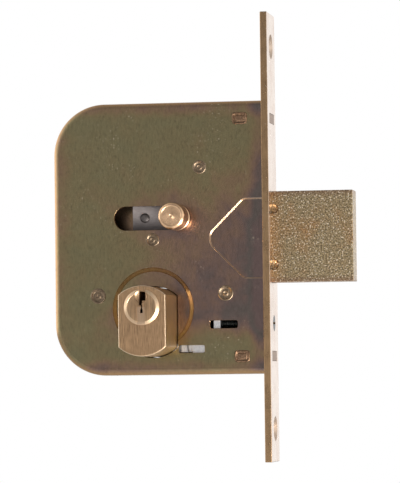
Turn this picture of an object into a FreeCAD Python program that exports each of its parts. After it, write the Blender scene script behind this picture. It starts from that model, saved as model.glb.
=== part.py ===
import FreeCAD, Part
import Sketcher
import math
import os

# Cased mortise deadlock with a double oval-profile cylinder and a thumb knob on the bolt tail.
# Millimetres. +X is the direction the bolt is thrown, +Z is up, the knob side faces -Y.
# x = 0 is the seat of the faceplate, y = 0 the middle of the case, z = 0 midway between the fixing screws.

doc = FreeCAD.newDocument("deadlock")
sheet = doc.addObject("Spreadsheet::Sheet", "Dimensions")


class Size:
    """A length together with the spreadsheet expression that drives it."""

    def __init__(self, value, text):
        self.value = float(value)
        self.text = text

    def __add__(self, other):
        other = as_size(other)
        return Size(self.value + other.value, "(" + self.text + " + " + other.text + ")")

    def __sub__(self, other):
        other = as_size(other)
        return Size(self.value - other.value, "(" + self.text + " - " + other.text + ")")

    def __mul__(self, other):
        other = as_size(other)
        return Size(self.value * other.value, "(" + self.text + " * " + other.text + ")")

    def __truediv__(self, other):
        other = as_size(other)
        return Size(self.value / other.value, "(" + self.text + " / " + other.text + ")")

    def __neg__(self):
        return Size(-self.value, "(0 - " + self.text + ")")

    __radd__ = __add__
    __rmul__ = __mul__


def as_size(item):
    if isinstance(item, Size):
        return item
    return Size(item, "(" + repr(float(item)) + ")")


used_rows = []


def cell(alias, value):
    """Put one driving dimension in the sheet and return it as a Size."""
    used_rows.append(alias)
    row = str(len(used_rows))
    sheet.set("A" + row, alias)
    sheet.set("B" + row, str(value))
    sheet.setAlias("B" + row, alias)
    return Size(value, "Dimensions." + alias)


# ---------------------------------------------------------------- driving dimensions

FACE_THICK = cell("FaceThickness", 3.0)
FACE_WIDTH = cell("FaceWidth", 22.0)
FACE_LENGTH = cell("FaceLength", 190.0)
FIX_SPACING = cell("FixingSpacing", 162.0)
FIX_RADIUS = cell("FixingRadius", 3.0)
SINK_RADIUS = cell("SinkRadius", 5.3)

CASE_DEPTH = cell("CaseDepth", 90.1)
CASE_HEIGHT = cell("CaseHeight", 115.5)
CASE_THICK = cell("CaseThickness", 17.0)
SHEET = cell("SheetThickness", 1.5)
CASE_CORNER = cell("CaseCorner", 22.0)
FOLD = cell("FoldRadius", 2.5)

PRESS_DEPTH = cell("PressDepth", 0.9)
PRESS_Z = cell("PressCentreZ", -0.55)
PRESS_HALF = cell("PressHalfHeight", 16.8)
PRESS_SHOULDER = cell("PressShoulder", 8.3)
PRESS_NOSE_X = cell("PressNoseX", 22.8)
PRESS_NOSE_Z = cell("PressNoseZ", 2.3)

CYL_X = cell("CylinderX", -47.5)
CYL_Z = cell("CylinderZ", -35.3)
CYL_RADIUS = cell("CylinderRadius", 14.75)
CYL_FLAT = cell("CylinderFlat", 10.0)
CYL_HALF = cell("CylinderHalfLength", 35.0)
PLUG_Z = cell("PlugZ", -29.6)
PLUG_RADIUS = cell("PlugRadius", 6.47)
PLUG_BORE = cell("PlugBore", 6.53)
PLUG_HEAD = cell("PlugHeadRadius", 7.8)
PLUG_NOSE = cell("PlugNoseRadius", 6.1)
PLUG_PROUD = cell("PlugProud", 1.2)
CAM_GAP = cell("CamGapHalf", 5.0)
CAM_REACH = cell("CamReach", 13.8)
CAM_FLOOR = cell("CamFloorZ", -43.9)
PIN_PITCH = cell("PinPitch", 4.5)
PIN_FIRST = cell("PinFirstY", 30.5)
PIN_RADIUS = cell("PinRadius", 1.5)

SEAT_RADIUS = cell("SeatRadius", 17.4)
SEAT_FLOOR = cell("SeatFloorRadius", 15.7)
SEAT_DEPTH = cell("SeatDepth", 1.6)

THROW = cell("BoltThrow", 22.0)
BOLT_TIP = cell("BoltTip", 37.8)
BOLT_REAR = cell("BoltRear", -22.0)
BOLT_HALF = cell("BoltHalfHeight", 19.2)
BOLT_SIDE = cell("BoltHalfThickness", 6.0)
BOLT_SLOPE = cell("BoltRearSlope", 12.0)
BOLT_GAP = cell("BoltGap", 0.15)

TAIL_FRONT = cell("TailFrontY", -4.0)
TAIL_BACK = cell("TailBackY", -1.0)
TAIL_LEFT = cell("TailLeft", -56.6)
TAIL_TOP = cell("TailTop", 17.5)
TAIL_BELLY = cell("TailBelly", -8.0)
TAIL_TOOTH = cell("TailTooth", -20.0)
NOTCH_X = cell("NotchX", -36.5)
NOTCH_HALF = cell("NotchHalf", 3.2)
TONGUE_HALF = cell("TongueHalf", 15.0)

KNOB_X = cell("KnobX", -36.6)
KNOB_Z = cell("KnobZ", 8.75)
KNOB_RADIUS = cell("KnobRadius", 5.6)
KNOB_TOP = cell("KnobTop", -24.5)
STEM_RADIUS = cell("StemRadius", 4.8)
SLOT_RADIUS = cell("KnobSlotRadius", 5.15)

POST_RADIUS = cell("PostRadius", 2.5)
PILLAR_RADIUS = cell("PillarRadius", 3.5)
STAKE_RADIUS = cell("StakeRadius", 2.2)
PILLAR_STAKE = cell("PillarStakeRadius", 2.6)

TENON_Z = cell("TenonZ", 50.3)
TAB_LEFT = cell("TabLeft", -12.7)
TAB_RIGHT = cell("TabRight", -6.4)
TAB_HALF = cell("TabHalf", 2.4)
SCREW_Z = cell("ScrewZ", -36.4)
SCREW_RADIUS = cell("ScrewRadius", 2.45)
WINDOW_A_X = cell("WindowAX", -17.25)
WINDOW_A_Z = cell("WindowAZ", -36.7)
WINDOW_B_X = cell("WindowBX", -30.95)
WINDOW_B_Z = cell("WindowBZ", -47.0)

doc.recompute()

HALF_THICK = CASE_THICK / 2
HALF_HIGH = CASE_HEIGHT / 2
INNER_Y = HALF_THICK - SHEET

# Positions (x, z) of the posts that stand between the two plates.
SPRING_POST = (as_size(-27.0), as_size(30.0))
GUIDE_POST = (as_size(-47.5), as_size(-0.5))
REAR_PILLAR = (as_size(-71.1), as_size(-24.0))
FRONT_PILLAR = (as_size(-16.35), as_size(-23.5))

# ---------------------------------------------------------------- helpers: Part primitives


def bind(obj, prop, size):
    obj.setExpression(prop, as_size(size).text)


def box(name, x_lo, x_hi, y_lo, y_hi, z_lo, z_hi):
    """A block between two limits on each axis."""
    obj = doc.addObject("Part::Box", name)
    for prop, low, high in (("Length", x_lo, x_hi), ("Width", y_lo, y_hi), ("Height", z_lo, z_hi)):
        bind(obj, prop, as_size(high) - low)
    for prop, low in (("x", x_lo), ("y", y_lo), ("z", z_lo)):
        bind(obj, "Placement.Base." + prop, low)
    return obj


TURNS = {
    "X": FreeCAD.Rotation(FreeCAD.Vector(0, 1, 0), 90),
    "Y": FreeCAD.Rotation(FreeCAD.Vector(1, 0, 0), -90),
    "Z": FreeCAD.Rotation(),
}


def lay(obj, axis, across_one, across_two, start):
    """Lay a turned primitive along an axis; the two cross coordinates come in X, Y, Z order."""
    obj.Placement = FreeCAD.Placement(FreeCAD.Vector(), TURNS[axis])
    order = {"X": ("y", "z", "x"), "Y": ("x", "z", "y"), "Z": ("x", "y", "z")}[axis]
    for letter, size in zip(order, (across_one, across_two, start)):
        bind(obj, "Placement.Base." + letter, size)


def rod(name, axis, across_one, across_two, start, stop, radius):
    obj = doc.addObject("Part::Cylinder", name)
    bind(obj, "Radius", radius)
    bind(obj, "Height", as_size(stop) - start)
    lay(obj, axis, across_one, across_two, start)
    return obj


def cone(name, axis, across_one, across_two, start, stop, radius_start, radius_stop):
    obj = doc.addObject("Part::Cone", name)
    bind(obj, "Radius1", radius_start)
    bind(obj, "Radius2", radius_stop)
    bind(obj, "Height", as_size(stop) - start)
    lay(obj, axis, across_one, across_two, start)
    return obj


def join(name, pieces):
    obj = doc.addObject("Part::MultiFuse", name)
    obj.Shapes = pieces
    return obj


def cut(name, base, tool):
    obj = doc.addObject("Part::Cut", name)
    obj.Base = base
    obj.Tool = tool
    return obj


def group(name, pieces):
    """Several identical solids kept apart in one node."""
    obj = doc.addObject("Part::Compound", name)
    obj.Links = pieces
    return obj


# ---------------------------------------------------------------- helpers: PartDesign bodies


def new_body(name):
    return doc.addObject("PartDesign::Body", name)


def plane_of(body, role):
    for feature in body.Origin.OriginFeatures:
        if feature.Role == role:
            return feature
    raise RuntimeError("no plane " + role)


def place_sketch(body, name, role, offset):
    """Sketch on one of the body's own planes, moved by offset along that plane's normal."""
    sketch = body.newObject("Sketcher::SketchObject", name)
    sketch.AttachmentSupport = [(plane_of(body, role), "")]
    sketch.MapMode = "FlatFace"
    bind(sketch, "AttachmentOffset.Base.z", offset)
    return sketch


def pin_point(sketch, geo, end, size_x, size_y):
    """Hold one end of one sketch edge at (size_x, size_y)."""
    for kind, size, axis_line in (("DistanceX", size_x, -2), ("DistanceY", size_y, -1)):
        if abs(size.value) < 1e-9:
            sketch.addConstraint(Sketcher.Constraint("PointOnObject", geo, end, axis_line))
        else:
            index = sketch.addConstraint(Sketcher.Constraint(kind, -1, 1, geo, end, size.value))
            label = kind[-1].lower() + "_of_" + str(geo) + "_" + str(end)
            sketch.renameConstraint(index, label)
            bind(sketch, "Constraints." + label, size)


def outline(sketch, points, arcs=None):
    """Closed outline through points; arcs maps an edge index to (centre, radius)."""
    arcs = arcs or {}
    points = [(as_size(px), as_size(py)) for px, py in points]
    count = len(points)
    first = sketch.GeometryCount
    ends = []
    for index in range(count):
        start = points[index]
        stop = points[(index + 1) % count]
        start_v = FreeCAD.Vector(start[0].value, start[1].value, 0)
        stop_v = FreeCAD.Vector(stop[0].value, stop[1].value, 0)
        if index in arcs:
            centre, radius = arcs[index]
            centre_v = FreeCAD.Vector(as_size(centre[0]).value, as_size(centre[1]).value, 0)
            circle = Part.Circle(centre_v, FreeCAD.Vector(0, 0, 1), as_size(radius).value)
            angle_start = math.atan2(start_v.y - centre_v.y, start_v.x - centre_v.x)
            angle_stop = math.atan2(stop_v.y - centre_v.y, stop_v.x - centre_v.x)
            turn = (angle_stop - angle_start) % (2 * math.pi)
            if turn <= math.pi + 1e-6:
                sketch.addGeometry(Part.ArcOfCircle(circle, angle_start, angle_start + turn), False)
                ends.append((1, 2))
            else:
                sketch.addGeometry(Part.ArcOfCircle(circle, angle_stop,
                                                     angle_stop + 2 * math.pi - turn), False)
                ends.append((2, 1))
        else:
            sketch.addGeometry(Part.LineSegment(start_v, stop_v), False)
            ends.append((1, 2))
    for index in range(count):
        following = (index + 1) % count
        joint = Sketcher.Constraint(
            "Coincident", first + index, ends[index][1], first + following, ends[following][0]
        )
        sketch.addConstraint(joint)
    for index in range(count):
        pin_point(sketch, first + index, ends[index][0], points[index][0], points[index][1])
        if index in arcs:
            # Both ends are held, so one coordinate of the centre settles the arc.
            centre = [as_size(item) for item in arcs[index][0]]
            stop = points[(index + 1) % count]
            across = abs(stop[0].value - points[index][0].value)
            upright = across < abs(stop[1].value - points[index][1].value)
            kind = "DistanceX" if upright else "DistanceY"
            size = centre[0] if upright else centre[1]
            number = sketch.addConstraint(Sketcher.Constraint(kind, -1, 1, first + index, 3, size.value))
            label = "centre_of_" + str(first + index)
            sketch.renameConstraint(number, label)
            bind(sketch, "Constraints." + label, size)


def rectangle(sketch, x_lo, x_hi, y_lo, y_hi):
    outline(sketch, [(x_lo, y_lo), (x_hi, y_lo), (x_hi, y_hi), (x_lo, y_hi)])


def slot(sketch, x_lo, x_hi, level, radius):
    """Round-ended slot between two end centres."""
    level = as_size(level)
    points = [(x_lo, level - radius), (x_hi, level - radius), (x_hi, level + radius), (x_lo, level + radius)]
    outline(sketch, points, {1: ((x_hi, level), radius), 3: ((x_lo, level), radius)})


def oval(sketch, grow):
    """The cylinder's section: a circle with two upright flats, grown by a clearance."""
    radius = CYL_RADIUS + grow
    half = CYL_FLAT + grow
    rise_value = math.sqrt(radius.value ** 2 - half.value ** 2)
    rise = Size(rise_value, "sqrt(" + radius.text + "^2 - " + half.text + "^2)")
    left = CYL_X - half
    right = CYL_X + half
    points = [(left, CYL_Z - rise), (right, CYL_Z - rise), (right, CYL_Z + rise), (left, CYL_Z + rise)]
    outline(sketch, points, {0: ((CYL_X, CYL_Z), radius), 2: ((CYL_X, CYL_Z), radius)})


def pad_between(body, name, draw, y_lo, y_hi):
    """Pad an XZ section from y_hi towards y_lo."""
    sketch = place_sketch(body, name + "Sketch", "XZ_Plane", -as_size(y_hi))
    draw(sketch)
    pad = body.newObject("PartDesign::Pad", name)
    pad.Profile = sketch
    bind(pad, "Length", as_size(y_hi) - y_lo)
    return pad


def pocket_between(body, name, draw, y_lo, y_hi):
    """Cut an XZ section from y_lo towards y_hi."""
    sketch = place_sketch(body, name + "Sketch", "XZ_Plane", -as_size(y_lo))
    draw(sketch)
    pocket = body.newObject("PartDesign::Pocket", name)
    pocket.Profile = sketch
    bind(pocket, "Length", as_size(y_hi) - y_lo)
    return pocket


def drill(body, name, axis, across_one, across_two, start, stop, radius, radius_stop=None):
    """Take a straight or tapered hole out of a body."""
    if radius_stop is None:
        tool = body.newObject("PartDesign::SubtractiveCylinder", name)
        bind(tool, "Radius", radius)
    else:
        tool = body.newObject("PartDesign::SubtractiveCone", name)
        bind(tool, "Radius1", radius)
        bind(tool, "Radius2", radius_stop)
    bind(tool, "Height", as_size(stop) - start)
    lay(tool, axis, across_one, across_two, start)
    return tool


def carve(body, name, x_lo, x_hi, y_lo, y_hi, z_lo, z_hi):
    """Take a block out of a body."""
    tool = body.newObject("PartDesign::SubtractiveBox", name)
    for prop, low, high in (("Length", x_lo, x_hi), ("Width", y_lo, y_hi), ("Height", z_lo, z_hi)):
        bind(tool, prop, as_size(high) - low)
    for prop, low in (("x", x_lo), ("y", y_lo), ("z", z_lo)):
        bind(tool, "Placement.Base." + prop, low)
    return tool


def edges_where(shape, test):
    """Names of the edges whose every sampled point passes the test."""
    names = []
    for number, edge in enumerate(shape.Edges, start=1):
        first, last = edge.ParameterRange
        spots = [edge.valueAt(first + (last - first) * step / 4.0) for step in range(5)]
        if all(test(spot) for spot in spots):
            names.append("Edge" + str(number))
    if not names:
        raise RuntimeError("no edge found")
    return names


def faces_where(shape, test):
    names = []
    for number, face in enumerate(shape.Faces, start=1):
        if test(face):
            names.append("Face" + str(number))
    if not names:
        raise RuntimeError("no face found")
    return names


def near(one, other):
    return abs(one - other) < 1e-4


nodes = {}


def finish(node, obj):
    obj.Label = node
    nodes[node] = obj


# ---------------------------------------------------------------- openings shared by the two plates


def window_a(sketch):
    slot(sketch, WINDOW_A_X - 4.55, WINDOW_A_X + 4.55, WINDOW_A_Z, as_size(1.7))


def window_b(sketch):
    slot(sketch, WINDOW_B_X - 4.15, WINDOW_B_X + 4.15, WINDOW_B_Z, as_size(1.65))


def pressing(sketch):
    """Pressing that guides the bolt: a block with two 45 degree slopes and a blunt nose."""
    points = [
        (0, PRESS_Z - PRESS_HALF),
        (0, PRESS_Z + PRESS_HALF),
        (-PRESS_SHOULDER, PRESS_Z + PRESS_HALF),
        (-PRESS_NOSE_X, PRESS_Z + PRESS_NOSE_Z),
        (-PRESS_NOSE_X, PRESS_Z - PRESS_NOSE_Z),
        (-PRESS_SHOULDER, PRESS_Z - PRESS_HALF),
    ]
    outline(sketch, points)


def stake_holes(body, prefix, y_lo, y_hi):
    for tag, post, radius in (
        ("A", SPRING_POST, STAKE_RADIUS),
        ("B", GUIDE_POST, STAKE_RADIUS),
        ("C", REAR_PILLAR, PILLAR_STAKE),
        ("D", FRONT_PILLAR, PILLAR_STAKE),
    ):
        drill(body, prefix + "Stake" + tag, "Y", post[0], post[1], y_lo, y_hi, radius)
    for tag, sign in (("Up", 1), ("Down", -1)):
        middle = TENON_Z * sign
        carve(body, prefix + "Tab" + tag, TAB_LEFT, TAB_RIGHT, y_lo, y_hi,
              middle - TAB_HALF, middle + TAB_HALF)


# ---------------------------------------------------------------- front case: drawn steel tray

case = new_body("FrontCase")
pad_between(case, "CaseBlock", lambda s: rectangle(s, -CASE_DEPTH, 0, -HALF_HIGH, HALF_HIGH),
            -HALF_THICK, INNER_Y)
doc.recompute()

corner = case.newObject("PartDesign::Fillet", "CaseCorners")
corner.Base = (doc.CaseBlock, edges_where(doc.CaseBlock.Shape, lambda p: near(p.x, -CASE_DEPTH.value)
                                          and near(abs(p.z), HALF_HIGH.value)))
bind(corner, "Radius", CASE_CORNER)
doc.recompute()

fold = case.newObject("PartDesign::Fillet", "CaseFold")
fold.Base = (corner, edges_where(corner.Shape, lambda p: near(p.y, -HALF_THICK.value)
                                 and (p.x < -1e-3 or near(abs(p.z), HALF_HIGH.value))))
bind(fold, "Radius", FOLD)
doc.recompute()


def case_room(sketch):
    """Inside of the tray: one sheet thickness in from the outline, open at the faceplate."""
    top = HALF_HIGH - SHEET
    rear = -CASE_DEPTH + SHEET
    bend = CASE_CORNER - SHEET
    points = [
        (0, -top),
        (0, top),
        (rear + bend, top),
        (rear, top - bend),
        (rear, -top + bend),
        (rear + bend, -top),
    ]
    outline(sketch, points, {2: ((rear + bend, top - bend), bend), 4: ((rear + bend, -top + bend), bend)})


pocket_between(case, "CaseRoom", case_room, -INNER_Y, INNER_Y)
doc.recompute()
pocket_between(case, "CasePressOut", pressing, -HALF_THICK, -HALF_THICK + PRESS_DEPTH)
pad_between(case, "CasePressIn", pressing, -INNER_Y, -INNER_Y + PRESS_DEPTH)
seat_out = drill(case, "CaseSeatOut", "Y", CYL_X, PLUG_Z, -HALF_THICK, -HALF_THICK + SEAT_DEPTH,
                 SEAT_RADIUS, SEAT_FLOOR)
seat_in = case.newObject("PartDesign::AdditiveCone", "CaseSeatIn")
bind(seat_in, "Radius1", SEAT_RADIUS + 1)
bind(seat_in, "Radius2", SEAT_FLOOR + 1)
bind(seat_in, "Height", SEAT_DEPTH)
lay(seat_in, "Y", CYL_X, PLUG_Z, -INNER_Y)
pocket_between(case, "CaseCylinderHole", lambda s: oval(s, as_size(0.2)), -HALF_THICK, -INNER_Y + 2)
pocket_between(case, "CaseKnobSlot",
               lambda s: slot(s, KNOB_X - THROW - 0.2, KNOB_X + 0.2, KNOB_Z, SLOT_RADIUS),
               -HALF_THICK, -INNER_Y)
pocket_between(case, "CaseWindowA", window_a, -HALF_THICK, -INNER_Y)
pocket_between(case, "CaseWindowB", window_b, -HALF_THICK, -INNER_Y)
stake_holes(case, "Case", -HALF_THICK, -INNER_Y)
finish("front_case", case)

# ------------------------------------------------------- back cover: flat plate with the same pressing

cover = new_body("BackCover")
pad_between(cover, "CoverPlate", lambda s: rectangle(s, -CASE_DEPTH, 0, -HALF_HIGH, HALF_HIGH),
            INNER_Y, HALF_THICK)
doc.recompute()
cover_corner = cover.newObject("PartDesign::Fillet", "CoverCorners")
cover_corner.Base = (doc.CoverPlate, edges_where(doc.CoverPlate.Shape, lambda p: near(p.x, -CASE_DEPTH.value)
                                                 and near(abs(p.z), HALF_HIGH.value)))
bind(cover_corner, "Radius", CASE_CORNER)
doc.recompute()
pocket_between(cover, "CoverPressOut", pressing, HALF_THICK - PRESS_DEPTH, HALF_THICK)
pad_between(cover, "CoverPressIn", pressing, INNER_Y - PRESS_DEPTH, INNER_Y)
pocket_between(cover, "CoverCylinderHole", lambda s: oval(s, as_size(0.2)), INNER_Y, HALF_THICK)
stake_holes(cover, "Cover", INNER_Y, HALF_THICK)
finish("back_cover", cover)

# ---------------------------------------------------------------- faceplate (forend)

face = new_body("Faceplate")
face_sketch = place_sketch(face, "FaceSketch", "YZ_Plane", as_size(0))
rectangle(face_sketch, -FACE_WIDTH / 2, FACE_WIDTH / 2, -FACE_LENGTH / 2, FACE_LENGTH / 2)
face_pad = face.newObject("PartDesign::Pad", "FacePad")
face_pad.Profile = face_sketch
bind(face_pad, "Length", FACE_THICK)
doc.recompute()
face_edge = face.newObject("PartDesign::Fillet", "FaceEdge")
face_edge.Base = (face_pad, edges_where(face_pad.Shape, lambda p: near(p.x, FACE_THICK.value)))
face_edge.Radius = 0.4
doc.recompute()
carve(face, "FaceBoltHole", -0.1, FACE_THICK + 0.1, -BOLT_SIDE - BOLT_GAP, BOLT_SIDE + BOLT_GAP,
      -BOLT_HALF - BOLT_GAP, BOLT_HALF + BOLT_GAP)
for tag, sign in (("Up", 1), ("Down", -1)):
    drill(face, "FaceFix" + tag, "X", 0, FIX_SPACING * (sign / 2), -0.1, FACE_THICK + 0.1, FIX_RADIUS)
    drill(face, "FaceSink" + tag, "X", 0, FIX_SPACING * (sign / 2),
          FACE_THICK - (SINK_RADIUS - FIX_RADIUS), FACE_THICK, FIX_RADIUS, SINK_RADIUS)
    carve(face, "FaceTenon" + tag, -0.1, FACE_THICK + 0.1, -6.5, 6.5,
          TENON_Z * sign - 2.1, TENON_Z * sign + 2.1)
drill(face, "FaceScrewHole", "X", 0, SCREW_Z, -0.1, FACE_THICK + 0.1, 2.7)
drill(face, "FaceScrewSeat", "X", 0, SCREW_Z, 1.3, FACE_THICK + 0.1, 3.35)
finish("faceplate", face)

# ---------------------------------------------------------------- tenon blocks that join case and faceplate

for node, sign in (("upper_tenon_block", 1), ("lower_tenon_block", -1)):
    middle = TENON_Z * sign
    stem = node.replace("_", "")
    core = box(stem + "Core", -14.0, 0, -INNER_Y, INNER_Y, middle - 4.5, middle + 4.5)
    tabs = box(stem + "Tabs", TAB_LEFT, TAB_RIGHT, -HALF_THICK, HALF_THICK,
               middle - TAB_HALF, middle + TAB_HALF)
    tenon = box(stem + "Tenon", -1.0, FACE_THICK, -6.5, 6.5, middle - 2.1, middle + 2.1)
    finish(node, join(stem + "Whole", [core, tabs, tenon]))

# ---------------------------------------------------------------- posts staked through both plates

for node, post, radius, stake in (
    ("spring_post", SPRING_POST, POST_RADIUS, STAKE_RADIUS),
    ("bolt_guide_post", GUIDE_POST, POST_RADIUS, STAKE_RADIUS),
    ("rear_pillar", REAR_PILLAR, PILLAR_RADIUS, PILLAR_STAKE),
    ("front_pillar", FRONT_PILLAR, PILLAR_RADIUS, PILLAR_STAKE),
):
    stem = node.replace("_", "")
    barrel = rod(stem + "Barrel", "Y", post[0], post[1], -INNER_Y, INNER_Y, radius)
    spigot = rod(stem + "Spigot", "Y", post[0], post[1], -HALF_THICK, HALF_THICK, stake)
    finish(node, join(stem + "Whole", [barrel, spigot]))

# ------------------------------------------------------- brake spring: leaf hooked round the spring post

leaf = new_body("BrakeSpring")


def leaf_arm(sketch):
    outline(sketch, [(-27.6, 27.2), (-28.4, 28.0), (-47.2, 18.55),
                     (-48.4, 18.9), (-48.7, 18.3), (-47.0, 17.85)])


pad_between(leaf, "LeafArm", leaf_arm, -4.5, -0.5)
ring = leaf.newObject("PartDesign::AdditiveCylinder", "LeafEye")
ring.Radius = 3.5
ring.Height = 4.0
lay(ring, "Y", SPRING_POST[0], SPRING_POST[1], -4.5)
tail_end = leaf.newObject("PartDesign::AdditiveBox", "LeafStub")
tail_end.Length = 0.8
tail_end.Width = 4.0
tail_end.Height = 12.0
bind(tail_end, "Placement.Base.x", SPRING_POST[0] + 2.6)
bind(tail_end, "Placement.Base.y", -4.5)
bind(tail_end, "Placement.Base.z", SPRING_POST[1])
drill(leaf, "LeafBore", "Y", SPRING_POST[0], SPRING_POST[1], -4.6, -0.4, POST_RADIUS + 0.05)
finish("brake_spring", leaf)

# ---------------------------------------------------------------- bolt head

bolt = new_body("BoltHead")


def bolt_outline(sketch):
    points = [
        (BOLT_TIP, -BOLT_HALF),
        (BOLT_TIP, BOLT_HALF),
        (BOLT_REAR + BOLT_SLOPE, BOLT_HALF),
        (BOLT_REAR, BOLT_HALF - BOLT_SLOPE),
        (BOLT_REAR, -BOLT_HALF + BOLT_SLOPE),
        (BOLT_REAR + BOLT_SLOPE, -BOLT_HALF),
    ]
    outline(sketch, points)


pad_between(bolt, "BoltBlock", bolt_outline, -BOLT_SIDE, BOLT_SIDE)
doc.recompute()
bolt_edge = bolt.newObject("PartDesign::Fillet", "BoltEdge")
bolt_edge.Base = (doc.BoltBlock, edges_where(doc.BoltBlock.Shape, lambda p: near(p.x, BOLT_TIP.value)))
bolt_edge.Radius = 0.5
doc.recompute()
carve(bolt, "BoltTongueSlot", BOLT_REAR - 0.1, -5.0, TAIL_FRONT, TAIL_BACK, -BOLT_HALF - 1, BOLT_HALF + 1)
RIVET_X = as_size(-11.5)
RIVET_Z = as_size(8.0)
DIMPLE_X = as_size(3.9)
DIMPLE_Z = as_size(11.8)
for tag, sign in (("Up", 1), ("Down", -1)):
    drill(bolt, "BoltRivet" + tag, "Y", RIVET_X, RIVET_Z * sign, -BOLT_SIDE - 1, BOLT_SIDE + 1, 2.5)
    drill(bolt, "BoltDimple" + tag, "Y", DIMPLE_X, DIMPLE_Z * sign, -BOLT_SIDE, -BOLT_SIDE + 0.7, 2.2, 1.0)
finish("bolt_head", bolt)

# ---------------------------------------------------------------- bolt tail: slotted and notched plate

tail = new_body("BoltTail")


def tail_outline(sketch):
    points = [
        (-5.2, -TONGUE_HALF),
        (-5.2, TONGUE_HALF),
        (BOLT_REAR - 0.2, TONGUE_HALF),
        (BOLT_REAR - 0.2, TAIL_TOP),
        (TAIL_LEFT, TAIL_TOP),
        (TAIL_LEFT, TAIL_BELLY),
        (NOTCH_X - 10, TAIL_BELLY),
        (NOTCH_X - 10, TAIL_TOOTH),
        (NOTCH_X - NOTCH_HALF, TAIL_TOOTH),
        (NOTCH_X - NOTCH_HALF, TAIL_BELLY),
        (NOTCH_X + NOTCH_HALF, TAIL_BELLY),
        (NOTCH_X + NOTCH_HALF, TAIL_TOOTH),
        (NOTCH_X + 10, TAIL_TOOTH),
        (NOTCH_X + 10, TAIL_BELLY),
        (BOLT_REAR - 0.2, TAIL_BELLY),
        (BOLT_REAR - 0.2, -TONGUE_HALF),
    ]
    outline(sketch, points)


pad_between(tail, "TailPlate", tail_outline, TAIL_FRONT, TAIL_BACK)
pocket_between(tail, "TailGuideSlot",
               lambda s: slot(s, GUIDE_POST[0] - 0.1, GUIDE_POST[0] + THROW + 0.1, GUIDE_POST[1],
                              POST_RADIUS + 0.2), TAIL_FRONT, TAIL_BACK)
for tag, sign in (("Up", 1), ("Down", -1)):
    drill(tail, "TailRivet" + tag, "Y", RIVET_X, RIVET_Z * sign, TAIL_FRONT - 1, TAIL_BACK + 1, 2.5)
STUD_X = as_size(-51.4)
STUD_Z = as_size(9.0)
drill(tail, "TailStudHole", "Y", STUD_X, STUD_Z, TAIL_FRONT - 1, TAIL_BACK + 1, 1.5)
drill(tail, "TailStemHole", "Y", KNOB_X, KNOB_Z, TAIL_FRONT - 1, TAIL_BACK + 1, 3.0)
finish("bolt_tail", tail)

rivets = []
for tag, sign in (("Up", 1), ("Down", -1)):
    rivets.append(rod("TailRivetPin" + tag, "Y", RIVET_X, RIVET_Z * sign, -BOLT_SIDE, BOLT_SIDE, 2.5))
finish("bolt_rivets", group("BoltRivets", rivets))

stud_head = rod("StudHead", "Y", STUD_X, STUD_Z, TAIL_FRONT - 1.1, TAIL_FRONT, 2.05)
stud_shank = rod("StudShank", "Y", STUD_X, STUD_Z, TAIL_FRONT, TAIL_BACK, 1.5)
finish("tail_stud", join("TailStud", [stud_head, stud_shank]))

# ---------------------------------------------------------------- thumb knob and its stem

STEM_TOP = -HALF_THICK - 0.5
stem_collar = rod("StemCollar", "Y", KNOB_X, KNOB_Z, STEM_TOP, TAIL_FRONT, STEM_RADIUS)
stem_shank = rod("StemShank", "Y", KNOB_X, KNOB_Z, TAIL_FRONT, TAIL_BACK, 3.0)
stem_thread = rod("StemThread", "Y", KNOB_X, KNOB_Z, STEM_TOP - 6, STEM_TOP, 2.5)
finish("knob_stem", join("KnobStem", [stem_collar, stem_shank, stem_thread]))

knob = new_body("Knob")
knob_sketch = place_sketch(knob, "KnobSketch", "XY_Plane", KNOB_Z)
knob_points = [
    (KNOB_X, KNOB_TOP),
    (KNOB_X + KNOB_RADIUS - 1.1, KNOB_TOP),
    (KNOB_X + KNOB_RADIUS, KNOB_TOP + 0.9),
    (KNOB_X + KNOB_RADIUS, KNOB_TOP + 11.0),
    (KNOB_X + KNOB_RADIUS - 0.6, KNOB_TOP + 11.8),
    (KNOB_X + KNOB_RADIUS - 0.6, STEM_TOP - 1.2),
    (KNOB_X + KNOB_RADIUS, STEM_TOP - 0.7),
    (KNOB_X + KNOB_RADIUS, STEM_TOP),
    (KNOB_X + 2.5, STEM_TOP),
    (KNOB_X + 2.5, STEM_TOP - 6.0),
    (KNOB_X, STEM_TOP - 6.0),
]
outline(knob_sketch, knob_points)
# The straight inner edge of the section, last in the outline, is the turning axis.
knob_turn = knob.newObject("PartDesign::Revolution", "KnobTurn")
knob_turn.Profile = knob_sketch
knob_turn.ReferenceAxis = (knob_sketch, ["Edge" + str(len(knob_points))])
knob_turn.Angle = 360.0
finish("knob", knob)

# ---------------------------------------------------------------- cylinder body

barrel = new_body("CylinderBody")
pad_between(barrel, "BarrelOval", lambda s: oval(s, as_size(0)), -CYL_HALF, CYL_HALF)
carve(barrel, "BarrelCamGap", CYL_X - 20, CYL_X + 20, -CAM_GAP, CAM_GAP, CAM_FLOOR, 0)
drill(barrel, "BarrelBore", "Y", CYL_X, PLUG_Z, -CYL_HALF - 1, CYL_HALF + 1, PLUG_BORE)
carve(barrel, "BarrelClampNotch", CYL_X + 7.0, CYL_X + 11, -7.3, -3.3, -48.4, -44.6)
CAP_TOP = as_size(-48.2)
CAP_FOOT = as_size(-49.7)
for half, side in (("Front", -1), ("Rear", 1)):
    for number in range(5):
        pin_y = (PIN_FIRST - PIN_PITCH * number) * side
        tag = half + str(number + 1)
        drill(barrel, "BarrelChamber" + tag, "Z", CYL_X, pin_y, -51.0, PLUG_Z - 4, PIN_RADIUS + 0.05)
    for flank, across in (("Left", -8.3), ("Right", 8.3)):
        drill(barrel, "BarrelHard" + half + flank, "Z", CYL_X + across, (CYL_HALF - 3) * side,
              -35.0, -25.0, 0.9)
finish("cylinder_body", barrel)

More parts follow.
